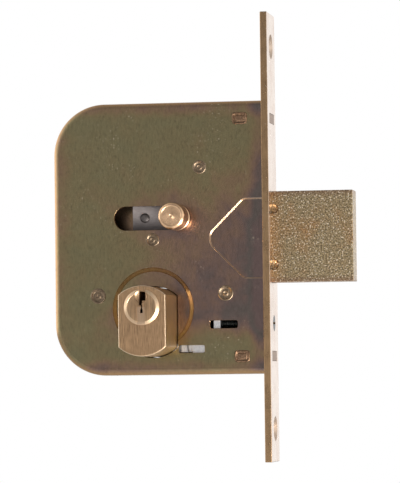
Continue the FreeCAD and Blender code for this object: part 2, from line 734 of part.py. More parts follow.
for half, side in (("front", -1), ("rear", 1)):
    keys = []
    drivers = []
    springs = []
    for number in range(5):
        pin_y = (PIN_FIRST - PIN_PITCH * number) * side
        tag = half.capitalize() + str(number + 1)
        tip = (1.1, 2.3, 1.6, 2.9, 1.9)[number]
        shear = PLUG_Z - PLUG_RADIUS
        keys.append(join("KeyPin" + tag, [
            rod("KeyPinBarrel" + tag, "Z", CYL_X, pin_y, shear + 0.3, shear + 0.8 + tip, PIN_RADIUS - 0.02),
            cone("KeyPinPoint" + tag, "Z", CYL_X, pin_y, shear + 0.8 + tip, shear + 1.8 + tip,
                 PIN_RADIUS - 0.02, 0.5),
        ]))
        drivers.append(rod("Driver" + tag, "Z", CYL_X, pin_y, -40.6, PLUG_Z - PLUG_BORE - 0.05,
                           PIN_RADIUS - 0.02))
        coil = rod("CoilOuter" + tag, "Z", CYL_X, pin_y, CAP_TOP + 0.02, -40.65, 1.4)
        hollow = rod("CoilInner" + tag, "Z", CYL_X, pin_y, CAP_TOP, -40.6, 1.0)
        springs.append(cut("Coil" + tag, coil, hollow))
    finish(half + "_key_pins", group(half.capitalize() + "KeyPins", keys))
    finish(half + "_driver_pins", group(half.capitalize() + "DriverPins", drivers))
    finish(half + "_pin_springs", group(half.capitalize() + "PinSprings", springs))

caps = []
hard = []
for half, side in (("Front", -1), ("Rear", 1)):
    for number in range(5):
        pin_y = (PIN_FIRST - PIN_PITCH * number) * side
        caps.append(rod("Cap" + half + str(number + 1), "Z", CYL_X, pin_y, CAP_FOOT, CAP_TOP,
                        PIN_RADIUS + 0.05))
    for flank, across in (("Left", -8.3), ("Right", 8.3)):
        hard.append(rod("Hard" + half + flank, "Z", CYL_X + across, (CYL_HALF - 3) * side, -35.0, -25.0, 0.9))
finish("chamber_caps", group("ChamberCaps", caps))
finish("drill_pins", group("DrillPins", hard))

# ---------------------------------------------------------------- plugs

PLUG_END = as_size(4.0)
CLIP_IN = as_size(4.25)
CLIP_OUT = as_size(4.85)
for half, side in (("front", -1), ("rear", 1)):
    title = half.capitalize() + "Plug"
    plug = new_body(title)

    def span(low, high):
        """A pair of y limits on this half, in rising order."""
        low = as_size(low)
        high = as_size(high)
        return (-high, -low) if side < 0 else (low, high)

    stretch = span(PLUG_END, CYL_HALF + 0.05)
    core = plug.newObject("PartDesign::AdditiveCylinder", title + "Core")
    bind(core, "Radius", PLUG_RADIUS)
    bind(core, "Height", stretch[1] - stretch[0])
    lay(core, "Y", CYL_X, PLUG_Z, stretch[0])
    stretch = span(CYL_HALF + 0.05, CYL_HALF + PLUG_PROUD)
    head = plug.newObject("PartDesign::AdditiveCone", title + "Head")
    bind(head, "Radius1", PLUG_NOSE if side < 0 else PLUG_HEAD)
    bind(head, "Radius2", PLUG_HEAD if side < 0 else PLUG_NOSE)
    bind(head, "Height", stretch[1] - stretch[0])
    lay(head, "Y", CYL_X, PLUG_Z, stretch[0])
    stretch = span(9.0, CYL_HALF + PLUG_PROUD + 0.1)
    carve(plug, title + "KeyWide", CYL_X - 1.35, CYL_X + 1.35, stretch[0], stretch[1],
          PLUG_Z + 0.2, PLUG_Z + 6.0)
    carve(plug, title + "KeyNarrow", CYL_X - 0.8, CYL_X + 0.8, stretch[0], stretch[1],
          PLUG_Z - 2.5, PLUG_Z + 0.3)
    stretch = span(CYL_HALF + PLUG_PROUD - 0.8, CYL_HALF + PLUG_PROUD)
    drill(plug, title + "Dish", "Y", CYL_X, PLUG_Z + 3.2, stretch[0], stretch[1],
          3.0 if side < 0 else 1.9, 1.9 if side < 0 else 3.0)
    for number in range(5):
        pin_y = (PIN_FIRST - PIN_PITCH * number) * side
        drill(plug, title + "PinHole" + str(number + 1), "Z", CYL_X, pin_y, PLUG_Z - 7, PLUG_Z - 0.5,
              PIN_RADIUS + 0.03)
    # Groove for the retaining clip and bore for the coupler.
    stretch = span(CLIP_IN, CLIP_OUT)
    groove_outer = rod(title + "GrooveOuter", "Y", CYL_X, PLUG_Z, stretch[0], stretch[1], PLUG_RADIUS + 1)
    groove_inner = rod(title + "GrooveInner", "Y", CYL_X, PLUG_Z, stretch[0], stretch[1], 5.7)
    groove = cut(title + "Groove", groove_outer, groove_inner)
    stretch = span(PLUG_END - 0.1, 7.0)
    socket = rod(title + "Socket", "Y", CYL_X, PLUG_Z, stretch[0], stretch[1], 3.6)
    tools = join(title + "Tools", [groove, socket])
    finish(half + "_plug", cut(title + "Whole", plug, tools))

    stretch = span(CLIP_IN, CLIP_OUT)
    clip_outer = rod(title + "ClipOuter", "Y", CYL_X, PLUG_Z, stretch[0], stretch[1], 7.4)
    clip_inner = rod(title + "ClipInner", "Y", CYL_X, PLUG_Z, stretch[0], stretch[1], 5.72)
    clip_mouth = box(title + "ClipMouth", CYL_X - 2.5, CYL_X + 2.5, stretch[0], stretch[1],
                     PLUG_Z + 4.0, PLUG_Z + 9.0)
    clip_tool = join(title + "ClipTool", [clip_inner, clip_mouth])
    finish(half + "_circlip", cut(title + "Clip", clip_outer, clip_tool))

# ---------------------------------------------------------------- cam and coupler, carried by the front plug

cam_hub = rod("CamHub", "Y", CYL_X, PLUG_Z, -3.85, 3.85, 7.6)
cam_tongue = box("CamTongue", CYL_X - 3.0, CYL_X + 3.0, -3.85, 3.85, PLUG_Z - CAM_REACH, PLUG_Z - 4)
cam_round = rod("CamRound", "Y", CYL_X, PLUG_Z, -3.85, 3.85, CAM_REACH)
cam_tip = doc.addObject("Part::Common", "CamTip")
cam_tip.Base = cam_tongue
cam_tip.Tool = cam_round
cam_bore = rod("CamBore", "Y", CYL_X, PLUG_Z, -4.0, 4.0, 3.6)
finish("cam", cut("Cam", join("CamBlank", [cam_hub, cam_tip]), cam_bore))
finish("cam_coupler", rod("CamCoupler", "Y", CYL_X, PLUG_Z, -7.0, 3.4, 3.6))

# ---------------------------------------------------------------- clamp screw and clamp slide

screw_shank = rod("ScrewShank", "X", 0, SCREW_Z, -22.6, 1.3, SCREW_RADIUS)
screw_head = rod("ScrewHead", "X", 0, SCREW_Z, 1.35, FACE_THICK, 3.2)
screw_neck = rod("ScrewNeck", "X", 0, SCREW_Z, 1.3, 1.4, SCREW_RADIUS)
screw_blank = join("ScrewBlank", [screw_shank, screw_neck, screw_head])
screw_slot = box("ScrewSlot", FACE_THICK - 0.8, FACE_THICK + 0.1, -3.5, 3.5, SCREW_Z - 0.45, SCREW_Z + 0.45)
finish("clamp_screw", cut("ClampScrew", screw_blank, screw_slot))

clamp = new_body("ClampSlide")


def clamp_plate(sketch):
    points = [
        (-19.0, -33.0),
        (-21.8, -33.0),
        (-21.8, -39.6),
        (-33.0, -44.9),
        (-33.0, -50.0),
        (-24.0, -50.0),
        (-19.0, -42.0),
    ]
    outline(sketch, points)


def clamp_nose(sketch):
    rectangle(sketch, -39.4, -31.0, -48.2, -44.8)


def clamp_tab(sketch):
    rectangle(sketch, -21.8, -19.0, -41.0, -33.0)


pad_between(clamp, "ClampPlate", clamp_plate, -6.9, -5.2)
pad_between(clamp, "ClampNose", clamp_nose, -6.9, -3.7)
pad_between(clamp, "ClampTab", clamp_tab, -6.9, 4.5)
drill(clamp, "ClampThread", "X", 0, SCREW_Z, -23, -18, SCREW_RADIUS + 0.05)
finish("cylinder_clamp", clamp)

# ---------------------------------------------------------------- check and write

doc.recompute()
for obj in doc.Objects:
    if "Invalid" in obj.State or "Error" in obj.State:
        raise RuntimeError(obj.Name + " failed: " + str(obj.State))
os.makedirs("parts", exist_ok=True)
for node, obj in sorted(nodes.items()):
    shape = obj.Shape
    if shape.isNull() or not shape.isValid() or shape.Volume <= 0:
        raise RuntimeError(node + " has no valid shape")
    solids = shape.Solids
    print("%-20s solids %2d  volume %9.1f  box %s" % (
        node, len(solids), shape.Volume,
        " ".join("%.2f" % number for number in (
            shape.BoundBox.XMin, shape.BoundBox.XMax, shape.BoundBox.YMin,
            shape.BoundBox.YMax, shape.BoundBox.ZMin, shape.BoundBox.ZMax))))
for node, obj in sorted(nodes.items()):
    obj.Shape.exportStep("parts/" + node + ".step")
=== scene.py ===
import math

import bpy
from bpy.props import FloatProperty, FloatVectorProperty, PointerProperty
from mathutils import Matrix, Vector


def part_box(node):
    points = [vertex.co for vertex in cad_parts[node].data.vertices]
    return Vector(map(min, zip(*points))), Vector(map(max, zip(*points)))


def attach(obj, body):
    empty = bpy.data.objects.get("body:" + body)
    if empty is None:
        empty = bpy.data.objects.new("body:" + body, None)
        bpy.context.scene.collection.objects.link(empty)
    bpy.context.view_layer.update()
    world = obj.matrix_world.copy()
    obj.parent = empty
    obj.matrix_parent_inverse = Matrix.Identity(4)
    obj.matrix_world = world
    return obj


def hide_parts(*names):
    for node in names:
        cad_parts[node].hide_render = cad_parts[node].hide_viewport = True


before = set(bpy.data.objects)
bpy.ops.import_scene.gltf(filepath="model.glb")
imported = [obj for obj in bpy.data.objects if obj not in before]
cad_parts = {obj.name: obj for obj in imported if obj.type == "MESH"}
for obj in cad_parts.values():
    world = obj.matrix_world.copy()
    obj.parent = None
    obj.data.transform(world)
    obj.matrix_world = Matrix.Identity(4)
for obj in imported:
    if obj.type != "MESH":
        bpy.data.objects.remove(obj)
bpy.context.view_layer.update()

bl_info = {
    "name": "Cased Mortise Deadlock",
    "version": (1, 0, 0),
    "blender": (4, 5, 0),
    "location": "View3D > Sidebar > Lock",
    "description": "Builds the shells, bolt, cylinder and knob of a cased deadlock over its frame",
    "category": "Object",
}

MM = 0.001


def node_box(node):
    """Lowest and highest corner of a frame node, in millimetres."""
    low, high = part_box(node)
    return Vector(low) / MM, Vector(high) / MM


def axis_of(low, high):
    """Where the axis of a part round about Y lies, as (x, z)."""
    return (low.x + high.x) / 2, (low.z + high.z) / 2


CASE_LOW, CASE_HIGH = node_box("front_case")
COVER_LOW, COVER_HIGH = node_box("back_cover")
FACE_LOW, FACE_HIGH = node_box("faceplate")
BOLT_LOW, BOLT_HIGH = node_box("bolt_head")
BODY_LOW, BODY_HIGH = node_box("cylinder_body")
PLUG_LOW, PLUG_HIGH = node_box("front_plug")
KNOB_LOW, KNOB_HIGH = node_box("knob")
STEM_LOW, STEM_HIGH = node_box("knob_stem")
STUD_LOW, STUD_HIGH = node_box("tail_stud")
CLAMP_LOW, CLAMP_HIGH = node_box("cylinder_clamp")

PLUG_AXIS = axis_of(PLUG_LOW, PLUG_HIGH)
KNOB_AXIS = axis_of(KNOB_LOW, KNOB_HIGH)
STUD_AXIS = axis_of(STUD_LOW, STUD_HIGH)
BODY_AXIS = axis_of(BODY_LOW, BODY_HIGH)


# ------------------------------------------------------------------ settings


def length(name, text, millimetres):
    return FloatProperty(name=name, description=text, default=millimetres * MM, min=0.0,
                         unit="LENGTH", subtype="DISTANCE", precision=5)


def colour(name, text, value):
    return FloatVectorProperty(name=name, description=text, default=value, size=3, min=0.0, max=1.0,
                               subtype="COLOR")


class LockSizes(bpy.types.PropertyGroup):
    case_corner: length("Case corner", "Radius of the two rear corners of the case", 22.0)
    fold_radius: length("Fold radius", "Outer radius of the folded rim of the case", 2.5)
    sheet: length("Sheet", "Thickness of the case sheet", 1.5)
    press_depth: length("Pressing depth", "Depth of the bolt pressing", 0.9)
    seat_radius: length("Seat radius", "Outer radius of the dished cylinder seat", 17.6)
    seat_depth: length("Seat depth", "Depth of the dished cylinder seat", 1.0)
    edge_break: length("Edge break", "Width of the broken edges on plates and bolt", 0.3)
    cylinder_edge: length("Cylinder edge", "Chamfer round the end face of the cylinder", 0.45)


class LockFinishes(bpy.types.PropertyGroup):
    film_green: colour("Green film", "Thinnest, grey-green part of the passivation", (0.292, 0.254, 0.142))
    film_olive: colour("Olive film", "Yellow-green part of the passivation", (0.318, 0.252, 0.134))
    film_brown: colour("Brown film", "Red-brown part of the passivation", (0.365, 0.228, 0.145))
    film_violet: colour("Violet film", "Violet part of the passivation", (0.240, 0.160, 0.150))
    film_slate: colour("Slate film", "Thickest, blue-grey part of the passivation", (0.172, 0.158, 0.138))
    # Painted sheen: gold laid on folds and drawn walls by their facing, standing in for the light they
    # catch.
    fold_sheen_gold: colour("Gold film", "Stretched film on folds and drawn walls", (0.47, 0.285, 0.140))
    brass: colour("Turned brass", "Thumb knob and small turned parts", (0.86, 0.56, 0.34))
    cylinder_brass: colour("Cylinder brass", "Dull brushed brass of the cylinder", (0.53, 0.335, 0.190))
    bolt_metal: colour("Bolt", "Grained, passivated bolt", (0.335, 0.262, 0.155))
    plate_metal: colour("Faceplate", "Passivated faceplate", (0.45, 0.285, 0.155))
    dull_steel: colour("Dull steel", "Tail plate and inner parts", (0.27, 0.24, 0.235))


# ------------------------------------------------------------------ modelling helpers


def clear_selection():
    active = bpy.context.view_layer.objects.active
    if active is not None and active.mode != "OBJECT":
        bpy.ops.object.mode_set(mode="OBJECT")
    bpy.ops.object.select_all(action="DESELECT")


def focus(obj):
    clear_selection()
    obj.select_set(True)
    bpy.context.view_layer.objects.active = obj


def settle_transform(obj):
    focus(obj)
    bpy.ops.object.transform_apply(location=True, rotation=True, scale=True)


def add_block(name, low, high):
    clear_selection()
    low, high = Vector(low) * MM, Vector(high) * MM
    bpy.ops.mesh.primitive_cube_add(size=1.0, location=(low + high) / 2)
    obj = bpy.context.object
    obj.name = name
    obj.scale = high - low
    settle_transform(obj)
    return obj


AXIS_TURN = {"X": (0.0, math.pi / 2, 0.0), "Y": (math.pi / 2, 0.0, 0.0), "Z": (0.0, 0.0, 0.0)}


def on_axis(axis, centre, station):
    """Point at a station along an axis; centre holds the two coordinates across it, in millimetres."""
    point = list(centre)
    point.insert("XYZ".index(axis), station)
    return Vector(point) * MM


def add_rod(name, axis, centre, radius, low, high, sides=96):
    """A straight rod; centre holds the two coordinates across the axis."""
    clear_selection()
    turn = list(AXIS_TURN[axis])
    if axis == "Y":
        turn[1] = math.pi / sides
    bpy.ops.mesh.primitive_cylinder_add(vertices=sides, radius=radius * MM, depth=(high - low) * MM,
                                        location=on_axis(axis, centre, (low + high) / 2), rotation=turn)
    obj = bpy.context.object
    obj.name = name
    settle_transform(obj)
    return obj


def start_pick(obj, kind):
    """Unselect all of a mesh and leave it in object mode, ready to pick elements of one kind."""
    focus(obj)
    bpy.ops.object.mode_set(mode="EDIT")
    bpy.ops.mesh.select_mode(type=kind)
    bpy.ops.mesh.select_all(action="DESELECT")
    bpy.ops.object.mode_set(mode="OBJECT")


def pick_faces(obj, test):
    """Go into edit mode with the faces whose centre (mm) and normal pass the test."""
    start_pick(obj, "FACE")
    for face in obj.data.polygons:
        face.select = bool(test(face.center / MM, face.normal))
    bpy.ops.object.mode_set(mode="EDIT")


def pick_edges(obj, test):
    """Go into edit mode with the edges whose two ends (mm) pass the test."""
    start_pick(obj, "EDGE")
    spots = obj.data.vertices
    for edge in obj.data.edges:
        one, two = (spots[number].co / MM for number in edge.vertices)
        edge.select = bool(test(one, two))
    bpy.ops.object.mode_set(mode="EDIT")


def pick_points(obj, test):
    """Go into edit mode with the vertices whose place (mm) passes the test."""
    start_pick(obj, "VERT")
    for spot in obj.data.vertices:
        spot.select = bool(test(spot.co / MM))
    bpy.ops.object.mode_set(mode="EDIT")


def edit_all(obj):
    """Go into edit mode with everything selected."""
    focus(obj)
    bpy.ops.object.mode_set(mode="EDIT")
    bpy.ops.mesh.select_all(action="SELECT")


def leave_edit():
    bpy.ops.object.mode_set(mode="OBJECT")


def same(one, other, slack=0.01):
    return abs(one - other) < slack


def round_uprights(obj, test, width, steps):
    """Round the edges that run along Y and pass the test on (x, z)."""
    pick_edges(obj, lambda a, b: same(a.x, b.x) and same(a.z, b.z) and not same(a.y, b.y)
               and test(a.x, a.z))
    bpy.ops.mesh.bevel(offset=width * MM, segments=steps, profile=0.5, affect="EDGES")
    leave_edit()


def add_capsule(name, x_low, x_high, level, radius, y_low, y_high, sides=64):
    """A round-ended bar along X, standing across the plate."""
    obj = add_rod(name, "Y", (x_low, level), radius, y_low, y_high, sides)
    pick_points(obj, lambda p: p.x > x_low)
    bpy.ops.transform.translate(value=((x_high - x_low) * MM, 0.0, 0.0))
    leave_edit()
    return obj


def slice_off(obj, point, normal):
    """Cut away everything on the normal's side of a plane and close the cut."""
    edit_all(obj)
    bpy.ops.mesh.bisect(plane_co=Vector(point) * MM, plane_no=normal, use_fill=True, clear_outer=True)
    leave_edit()


def add_oval(name, axis, radius, half, y_low, y_high, sides=128):
    """The cylinder section: a circle with two upright flats."""
    obj = add_rod(name, "Y", axis, radius, y_low, y_high, sides)
    slice_off(obj, (axis[0] + half, 0, axis[1]), (1, 0, 0))
    slice_off(obj, (axis[0] - half, 0, axis[1]), (-1, 0, 0))
    return obj


def sink(tool, level, way, steps, reach=0.0):
    """Draw the tool's end face into the plate in steps of (inset, drop), then straight on by reach."""
    pick_faces(tool, lambda c, n: same(c.y, level) and n.y * way > 0.9)
    for inset, drop in steps:
        bpy.ops.mesh.inset(thickness=inset * MM, depth=0.0)
        bpy.ops.transform.translate(value=(0.0, drop * way * MM, 0.0))
    if reach:
        bpy.ops.mesh.extrude_region_move(TRANSFORM_OT_translate={"value": (0.0, reach * way * MM, 0.0)})
    leave_edit()
    return tool


def apply_modifier(obj, kind, **settings):
    focus(obj)
    step = obj.modifiers.new("Step", kind)
    for key, value in settings.items():
        setattr(step, key, value)
    bpy.ops.object.modifier_apply(modifier=step.name)


def combine(obj, other, operation):
    apply_modifier(obj, "BOOLEAN", operation=operation, solver="EXACT", object=other)
    bpy.data.objects.remove(other, do_unlink=True)
    if len(obj.data.polygons) < 4:
        raise RuntimeError(obj.name + " was lost in a boolean")
    return obj


def cut(obj, tool):
    return combine(obj, tool, "DIFFERENCE")


def fuse(obj, other):
    return combine(obj, other, "UNION")


def break_edges(obj, width, steps=2, angle=35.0):
    apply_modifier(obj, "BEVEL", width=width * MM, segments=steps, limit_method="ANGLE",
                   angle_limit=math.radians(angle), use_clamp_overlap=True)


def even_out(obj, angle=32.0):
    """Merge doubles, shade smooth across shallow edges and let the large faces keep their normals."""
    edit_all(obj)
    bpy.ops.mesh.remove_doubles(threshold=0.000002)
    bpy.ops.mesh.normals_make_consistent(inside=False)
    leave_edit()
    bpy.ops.object.shade_smooth_by_angle(angle=math.radians(angle))
    apply_modifier(obj, "WEIGHTED_NORMAL", keep_sharp=True, weight=60)


def turned(name, axis, centre, profile, sides=72):
    """A turned part: profile is a list of (station along the axis, radius), in millimetres."""
    clear_selection()
    station, radius = profile[0]
    bpy.ops.mesh.primitive_circle_add(vertices=sides, radius=radius * MM, fill_type="NGON",
                                      location=on_axis(axis, centre, station), rotation=AXIS_TURN[axis])
    obj = bpy.context.object
    obj.name = name
    settle_transform(obj)
    edit_all(obj)
    for next_station, next_radius in profile[1:]:
        shift = {"X": (1, 0, 0), "Y": (0, 1, 0), "Z": (0, 0, 1)}[axis]
        move = Vector(shift) * ((next_station - station) * MM)
        bpy.ops.mesh.extrude_region_move(TRANSFORM_OT_translate={"value": move})
        ratio = next_radius / radius
        grow = [1.0 if part else ratio for part in shift]
        bpy.ops.transform.resize(value=grow)
        station, radius = next_station, next_radius
    bpy.ops.mesh.select_all(action="SELECT")
    bpy.ops.mesh.normals_make_consistent(inside=False)
    leave_edit()
    return obj


def coat(obj, finish):
    obj.data.materials.clear()
    obj.data.materials.append(finish_named(finish))


def hand_over(obj, name, body, slot, finish, *nodes):
    """Give a finished piece its name, finish, body and the frame nodes it stands for."""
    obj.name = name
    obj.data.name = name
    coat(obj, finish)
    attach(obj, body)
    if nodes:
        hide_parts(*nodes)
    return obj


def dress(node, finish):
    """Give a frame node a finish of its own."""
    coat(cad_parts[node], finish)


# ------------------------------------------------------------------ shader helpers


def add_node(tree, kind, **settings):
    made = tree.nodes.new(kind)
    for key, value in settings.items():
        setattr(made, key, value)
    return made


def feed(tree, source, target):
    tree.links.new(source, target)


def math_node(tree, operation, first, second=None, clamp=False):
    made = add_node(tree, "ShaderNodeMath", operation=operation, use_clamp=clamp)
    for socket, item in zip(made.inputs, (first, second)):
        if item is None:
            continue
        if isinstance(item, (int, float)):
            socket.default_value = item
        else:
            feed(tree, item, socket)
    return made.outputs[0]


def times(tree, first, second):
    return math_node(tree, "MULTIPLY", first, second)


def plus(tree, first, second):
    return math_node(tree, "ADD", first, second)


def size_of(tree, value):
    return math_node(tree, "ABSOLUTE", value)


def split(tree, vector):
    """The X, Y and Z outputs of a vector."""
    made = add_node(tree, "ShaderNodeSeparateXYZ")
    feed(tree, vector, made.inputs["Vector"])
    return made.outputs


def map_range(tree, value, source=(0.0, 1.0), target=(0.0, 1.0), kind="LINEAR"):
    """Carry a value from one range over to another, held at the ends."""
    made = add_node(tree, "ShaderNodeMapRange", interpolation_type=kind)
    for label, number in zip(("From Min", "From Max", "To Min", "To Max"), (*source, *target)):
        made.inputs[label].default_value = number
    feed(tree, value, made.inputs["Value"])
    return made.outputs["Result"]


def vector_node(tree, operation, first, second=None):
    made = add_node(tree, "ShaderNodeVectorMath", operation=operation)
    for socket, item in zip(made.inputs, (first, second)):
        if item is None:
            continue
        if isinstance(item, (tuple, list, Vector)):
            socket.default_value = tuple(item)
        else:
            feed(tree, item, socket)
    return made.outputs["Value"] if operation in ("LENGTH", "DISTANCE", "DOT_PRODUCT") else made.outputs[0]


def ramp(tree, source, stops, smooth=True):
    made = add_node(tree, "ShaderNodeValToRGB")
    made.color_ramp.interpolation = "B_SPLINE" if smooth else "LINEAR"
    while len(made.color_ramp.elements) < len(stops):
        made.color_ramp.elements.new(0.5)
    for element, (place, value) in zip(made.color_ramp.elements, stops):
        element.position = place
        element.color = (*value, 1.0) if isinstance(value, (tuple, list)) else (value, value, value, 1.0)
    feed(tree, source, made.inputs["Fac"])
    return made.outputs["Color"]


def mix_colour(tree, amount, first, second, blend="MIX"):
    made = add_node(tree, "ShaderNodeMix", data_type="RGBA", blend_type=blend)
    for socket, item in ((made.inputs[0], amount), (made.inputs[6], first), (made.inputs[7], second)):
        if isinstance(item, (int, float)):
            socket.default_value = item
        elif isinstance(item, (tuple, list)):
            socket.default_value = (*item, 1.0)
        else:
            feed(tree, item, socket)
    return made.outputs[2]


def stain(tree, tint, mask, strength, colour_over):
    """Lay a colour over the tint where the mask is, at part strength."""
    return mix_colour(tree, times(tree, mask, strength), tint, colour_over)


def mottled(tree, tint, grain, dark, light, start=0.40):
    """Darken and lighten the tint with the height of the grain."""
    mottle = ramp(tree, grain.outputs["Height"], [(start, dark), (0.95, light)], False)
    return mix_colour(tree, 1.0, tint, mottle, "MULTIPLY")


def shade(base, factor):
    """A colour made darker or lighter, held at 1."""
    return tuple(min(1.0, part * factor) for part in base)


def noise(tree, vector, scale, detail=4.0, roughness=0.55, distortion=0.0):
    made = add_node(tree, "ShaderNodeTexNoise")
    made.inputs["Scale"].default_value = scale
    made.inputs["Detail"].default_value = detail
    made.inputs["Roughness"].default_value = roughness
    made.inputs["Distortion"].default_value = distortion
    feed(tree, vector, made.inputs["Vector"])
    return made.outputs["Fac"]


def new_group(name, inputs, outputs):
    tree = bpy.data.node_groups.new(name, "ShaderNodeTree")
    for label, kind, value in inputs:
        socket = tree.interface.new_socket(label, in_out="INPUT", socket_type=kind)
        if value is not None:
            socket.default_value = value
    for label, kind in outputs:
        tree.interface.new_socket(label, in_out="OUTPUT", socket_type=kind)
    entry = tree.nodes.new("NodeGroupInput")
    leave = tree.nodes.new("NodeGroupOutput")
    return tree, entry, leave


def grain_group():
    """Fine metal grain: stretched lines or even speckle, as a height and a mask of pits."""
    tree, entry, leave = new_group(
        "Metal grain",
        [("Position", "NodeSocketVector", None), ("Stretch", "NodeSocketVector", (1.0, 1.0, 1.0)),
         ("Scale", "NodeSocketFloat", 1000.0)],
        [("Height", "NodeSocketFloat"), ("Pits", "NodeSocketFloat"), ("Sparkle", "NodeSocketFloat")])
    placed = vector_node(tree, "MULTIPLY", entry.outputs["Position"], entry.outputs["Stretch"])
    fine = add_node(tree, "ShaderNodeTexNoise")
    fine.inputs["Detail"].default_value = 3.0
    feed(tree, placed, fine.inputs["Vector"])
    feed(tree, entry.outputs["Scale"], fine.inputs["Scale"])
    coarse = noise(tree, entry.outputs["Position"], 420.0, 2.0)
    feed(tree, plus(tree, fine.outputs["Fac"], times(tree, coarse, 0.2)),
         leave.inputs["Height"])
    feed(tree, ramp(tree, fine.outputs["Fac"], [(0.30, 1.0), (0.42, 0.0)], False), leave.inputs["Pits"])
    cells = add_node(tree, "ShaderNodeTexVoronoi", feature="F1")
    cells.inputs["Scale"].default_value = 1500.0
    feed(tree, placed, cells.inputs["Vector"])
    spark = noise(tree, entry.outputs["Position"], 1300.0, 1.0)
    bright = times(tree, ramp(tree, spark, [(0.60, 0.0), (0.70, 1.0)], False),
                       ramp(tree, cells.outputs["Distance"], [(0.1, 1.0), (0.45, 0.0)], False))
    feed(tree, bright, leave.inputs["Sparkle"])
    return tree


def scratch_group():
    """Sparse handling marks: short thin lines in two directions and scattered specks."""
    tree, entry, leave = new_group(
        "Handling marks",
        [("Position", "NodeSocketVector", None), ("Amount", "NodeSocketFloat", 1.0)],
        [("Mask", "NodeSocketFloat"), ("Specks", "NodeSocketFloat")])
    lines = None
    for turn, shift in ((0.5, 3.0), (-0.9, 11.0)):
        lay = add_node(tree, "ShaderNodeMapping")
        lay.inputs["Rotation"].default_value = (0.0, turn, 0.0)
        lay.inputs["Location"].default_value = (shift, shift, shift)
        lay.inputs["Scale"].default_value = (1.0, 1.0, 14.0)
        feed(tree, entry.outputs["Position"], lay.inputs["Vector"])
        streak = noise(tree, lay.outputs["Vector"], 170.0, 2.0, 0.4)
        patch = noise(tree, entry.outputs["Position"], 60.0 + shift, 1.0)
        thin = ramp(tree, streak, [(0.715, 0.0), (0.75, 1.0)], False)
        where = ramp(tree, patch, [(0.50, 0.0), (0.60, 1.0)], False)
        part = times(tree, thin, where)
        lines = part if lines is None else math_node(tree, "MAXIMUM", lines, part)
    feed(tree, math_node(tree, "MULTIPLY", lines, entry.outputs["Amount"], clamp=True),
         leave.inputs["Mask"])
    specks = noise(tree, entry.outputs["Position"], 1500.0, 0.0)
    where = ramp(tree, noise(tree, entry.outputs["Position"], 75.0, 2.0), [(0.50, 0.0), (0.68, 1.0)], False)
    rare = ramp(tree, specks, [(0.74, 0.0), (0.80, 1.0)], False)
    feed(tree, times(tree, rare, where), leave.inputs["Specks"])
    return tree


def edge_band(tree, value, start, full):
    """Mask that rises smoothly from 0 at one coordinate to 1 at another."""
    return map_range(tree, value, (start, full), kind="SMOOTHSTEP")


